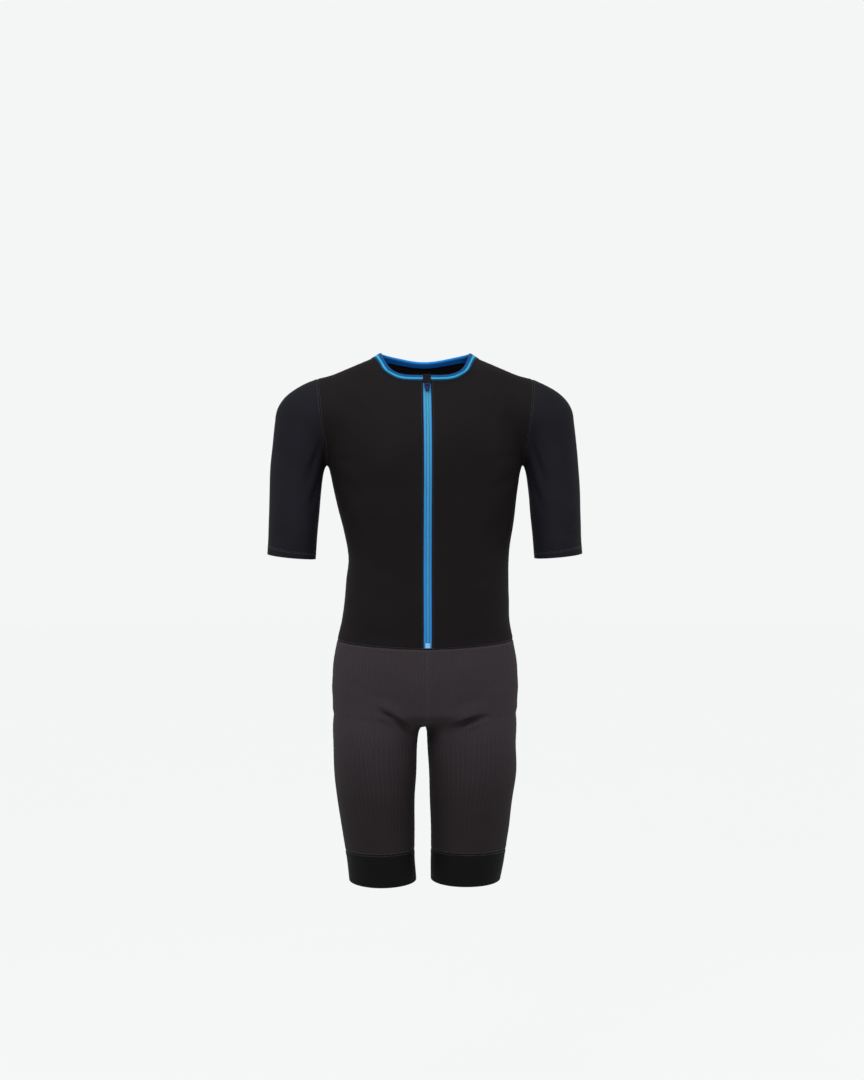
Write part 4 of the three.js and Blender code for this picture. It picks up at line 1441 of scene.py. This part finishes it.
def declare_sheet(grid, looped=False, held="stretched"):
    """Works out a piece's cut: its widest row and longest column, and its flat area, and keeps none
    of it.
    """
    ring = np.concatenate((grid, grid[:, :1]), axis=1) if looped else grid
    width = length_of(np.diff(ring, axis=1)).sum(axis=1).max()
    length = length_of(np.diff(ring, axis=0)).sum(axis=0).max()
    steps = np.cross(ring[1:, :-1] - ring[:-1, :-1], ring[:-1, 1:] - ring[:-1, :-1])
    girth, rise = (GIRTH_STRETCH, LENGTH_STRETCH) if held == "stretched" else (1.0, 1.0)
    area = length_of(steps).sum() * MM * MM / (girth * rise)
    flat = (width * MM / girth, length * MM / rise)
    min(area, 0.999 * flat[0] * flat[1])


def place(piece, slot, *nodes, body="suit"):
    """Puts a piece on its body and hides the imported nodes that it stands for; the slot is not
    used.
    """
    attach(piece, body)
    if nodes:
        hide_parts(*nodes)


def side_name(side):
    return "left" if side > 0 else "right"


def sewn_panels():
    """Every panel of cloth, by name."""
    panels = {"back": Panel("back_cloth", "back", back_panel(), ALL_ROUND)}

    def add(name, kind, grid, sewn=ALL_ROUND, **form):
        panels[name] = Panel(name + "_cloth", kind, grid, sewn, **form)

    for side in (1, -1):
        end = "_" + side_name(side)
        add("front" + end, "front", front_panel(side))
        add("sleeve" + end, "sleeve", sleeve_panel(side), ("low",), looped=True)
        add("shorts_front" + end, "shorts_front", shorts_panel(side, -1))
        add("shorts_back" + end, "shorts_back", shorts_panel(side, 1))
        add("leg_gripper" + end, "gripper", gripper_panel(side), ("low",), looped=True, lift=0.25)
    return panels


def cloth_slot(name):
    """The thickness, finish and material slot of a panel."""
    if name.startswith("shorts"):
        return KNIT, RIBBED, "rib_grey"
    if name.startswith("leg_gripper"):
        return BAND, GRIPPER, "gripper_black"
    return KNIT, SLEEVE_JERSEY if name.startswith("sleeve") else JERSEY, "knit_black"


# Distances in from an edge at which rows of stitches run.
SEAM_ROW = 2.3
GRIPPER_ROW = 1.8
ZIP_ROW = 2.6
HEM_ROWS = (9.5, 11.9)


def stitch_lines(panels):
    """The rows of stitches, as lines on the cloth, by the piece that they make."""
    rows = {"seam_stitches": [], "shorts_stitches": [], "gripper_stitches": [], "hem_stitches": []}
    for name, panel in panels.items():
        if name.startswith("shorts"):
            rows["shorts_stitches"] += [panel.line(side, SEAM_ROW) for side in ALL_ROUND]
        elif name.startswith("leg_gripper"):
            rows["gripper_stitches"].append(panel.line("low", GRIPPER_ROW))
        elif name.startswith("sleeve"):
            rows["seam_stitches"].append(panel.line("low", SEAM_ROW))
            rows["hem_stitches"] += [panel.line("high", row) for row in HEM_ROWS]
        elif name == "back":
            rows["seam_stitches"] += [panel.line(side, SEAM_ROW) for side in ALL_ROUND]
        else:
            rows["seam_stitches"] += [panel.line(side, SEAM_ROW) for side in ("low", "high", "end")]
            rows["hem_stitches"].append(panel.line("start", ZIP_ROW))
    return rows


def build_suit():
    panels = sewn_panels()
    for name, panel in panels.items():
        thickness, finish, slot = cloth_slot(name)
        piece = cloth(panel, thickness, finish)
        place(piece, slot, name)
        declare_sheet(panel.grid, panel.looped)
    black, grey = (BLACK_THREAD, "knit_black"), (GREY_THREAD, "rib_grey")
    threads = {
        "seam_stitches": black,
        "hem_stitches": black,
        "shorts_stitches": grey,
        "gripper_stitches": (GREY_THREAD, "gripper_black"),
    }
    for name, lines in stitch_lines(panels).items():
        place(stitched(name, lines, threads[name][0]), threads[name][1])


def build_zip():
    teeth, cord = zip_coil()
    place(teeth, "chain_blue", "zip_chain")
    place(cord, "chain_blue")
    for side in (1, -1):
        tape = zip_tape(side)
        place(tape, "zip_blue", "zip_tape_" + side_name(side))
    garage = zip_garage()
    place(garage, "knit_black", "zip_garage")
    seat = front_at(0.0, float(SLIDER["z"]))
    lean = outward(seat)
    seat = seat + lean * SLIDER["lift"]
    place(zip_slider(seat, lean), "slider_navy", "zip_slider")
    place(pull_tab(seat, lean), "slider_navy", "zip_pull_tab", body="pull_tab")
    stop_seat = front_at(0.0, (STOP_TOP + ZIP_BOTTOM) / 2)
    place(bottom_stop(stop_seat, outward(stop_seat)), "stop_pale", "zip_bottom_stop")


def build_neck():
    binding = neck_binding()
    place(binding, "binding_blue", "neck_binding")
    turns = np.linspace(neck_degrees_at(9), 360 - neck_degrees_at(9), 181)
    seam = neck_seam(turns, 1.5)
    line = seam + outward(seam) * 1.3
    place(stitched("binding_stitches", [line], BLUE_THREAD), "binding_blue")


# Studio.

CAMERA = {"away": 2.8, "height": -0.150, "turn": 2.7, "across": 0.0119, "aim": -0.320}
FRAME_HEIGHT = 1.890
AIM_DISTANCE = 2.805
SENSOR = 36.0
FLOOR_LEVEL = -1.45


def add_camera():
    a = math.radians(CAMERA["turn"])
    across, away = CAMERA["across"], CAMERA["away"]
    eye = Vector(
        (
            across * math.cos(a) - away * math.sin(a),
            -away * math.cos(a) - across * math.sin(a),
            CAMERA["height"],
        )
    )
    aim = Vector((across * math.cos(a), -across * math.sin(a), CAMERA["aim"]))
    lens = bpy.data.cameras.new("camera")
    lens.sensor_fit = "VERTICAL"
    lens.sensor_height = SENSOR
    lens.lens = SENSOR * AIM_DISTANCE / FRAME_HEIGHT
    camera = bpy.data.objects.new("camera", lens)
    camera.location = eye
    camera.rotation_euler = (aim - eye).to_track_quat("-Z", "Y").to_euler()
    bpy.context.collection.objects.link(camera)
    bpy.context.scene.camera = camera


# Softboxes: place, the place that each faces, width, height and power.
LIGHT_COLUMNS = ("name", "at", "towards", "width", "height", "watts")
LIGHTS = [
    ("key", (-0.7, -1.5, 1.0), (0, 0, -0.15), 0.9, 0.9, 34),
    ("fill", (1.2, -1.7, 0.4), (0, 0, -0.3), 0.9, 1.2, 12),
    ("rim_left", (1.7, 0.5, -0.5), (0, 0, -0.6), 0.5, 1.4, 7),
    ("rim_right", (-1.7, 0.5, -0.5), (0, 0, -0.6), 0.5, 1.4, 7),
    ("top", (0, -0.3, 1.5), (0, 0, 0), 1.2, 0.8, 12),
]


def add_lights():
    for row in LIGHTS:
        light = dict(zip(LIGHT_COLUMNS, row))
        data = bpy.data.lights.new(light["name"], "AREA")
        data.shape = "RECTANGLE"
        data.size, data.size_y = light["width"], light["height"]
        data.energy = light["watts"]
        made = bpy.data.objects.new(light["name"], data)
        made.location = light["at"]
        direction = Vector(light["towards"]) - Vector(light["at"])
        made.rotation_euler = direction.to_track_quat("-Z", "Y").to_euler()
        bpy.context.collection.objects.link(made)
    world = bpy.data.worlds.new("studio")
    world.use_nodes = True
    sky = next(n for n in world.node_tree.nodes if n.type == "BACKGROUND")
    sky.inputs["Color"].default_value = BACKGROUND
    sky.inputs["Strength"].default_value = 1.0
    bpy.context.scene.world = world
    bpy.context.scene.view_settings.view_transform = "Standard"


def add_floor():
    radius, sides = 9000.0, 64
    turns = np.linspace(0, 2 * math.pi, sides, endpoint=False)
    rim = vectors(radius * np.cos(turns), radius * np.sin(turns), FLOOR_LEVEL / MM)
    floor = mesh_object("studio_floor", rim, [list(range(sides))], pale_backdrop())


build_suit()
build_zip()
build_neck()
add_floor()
add_camera()
add_lights()
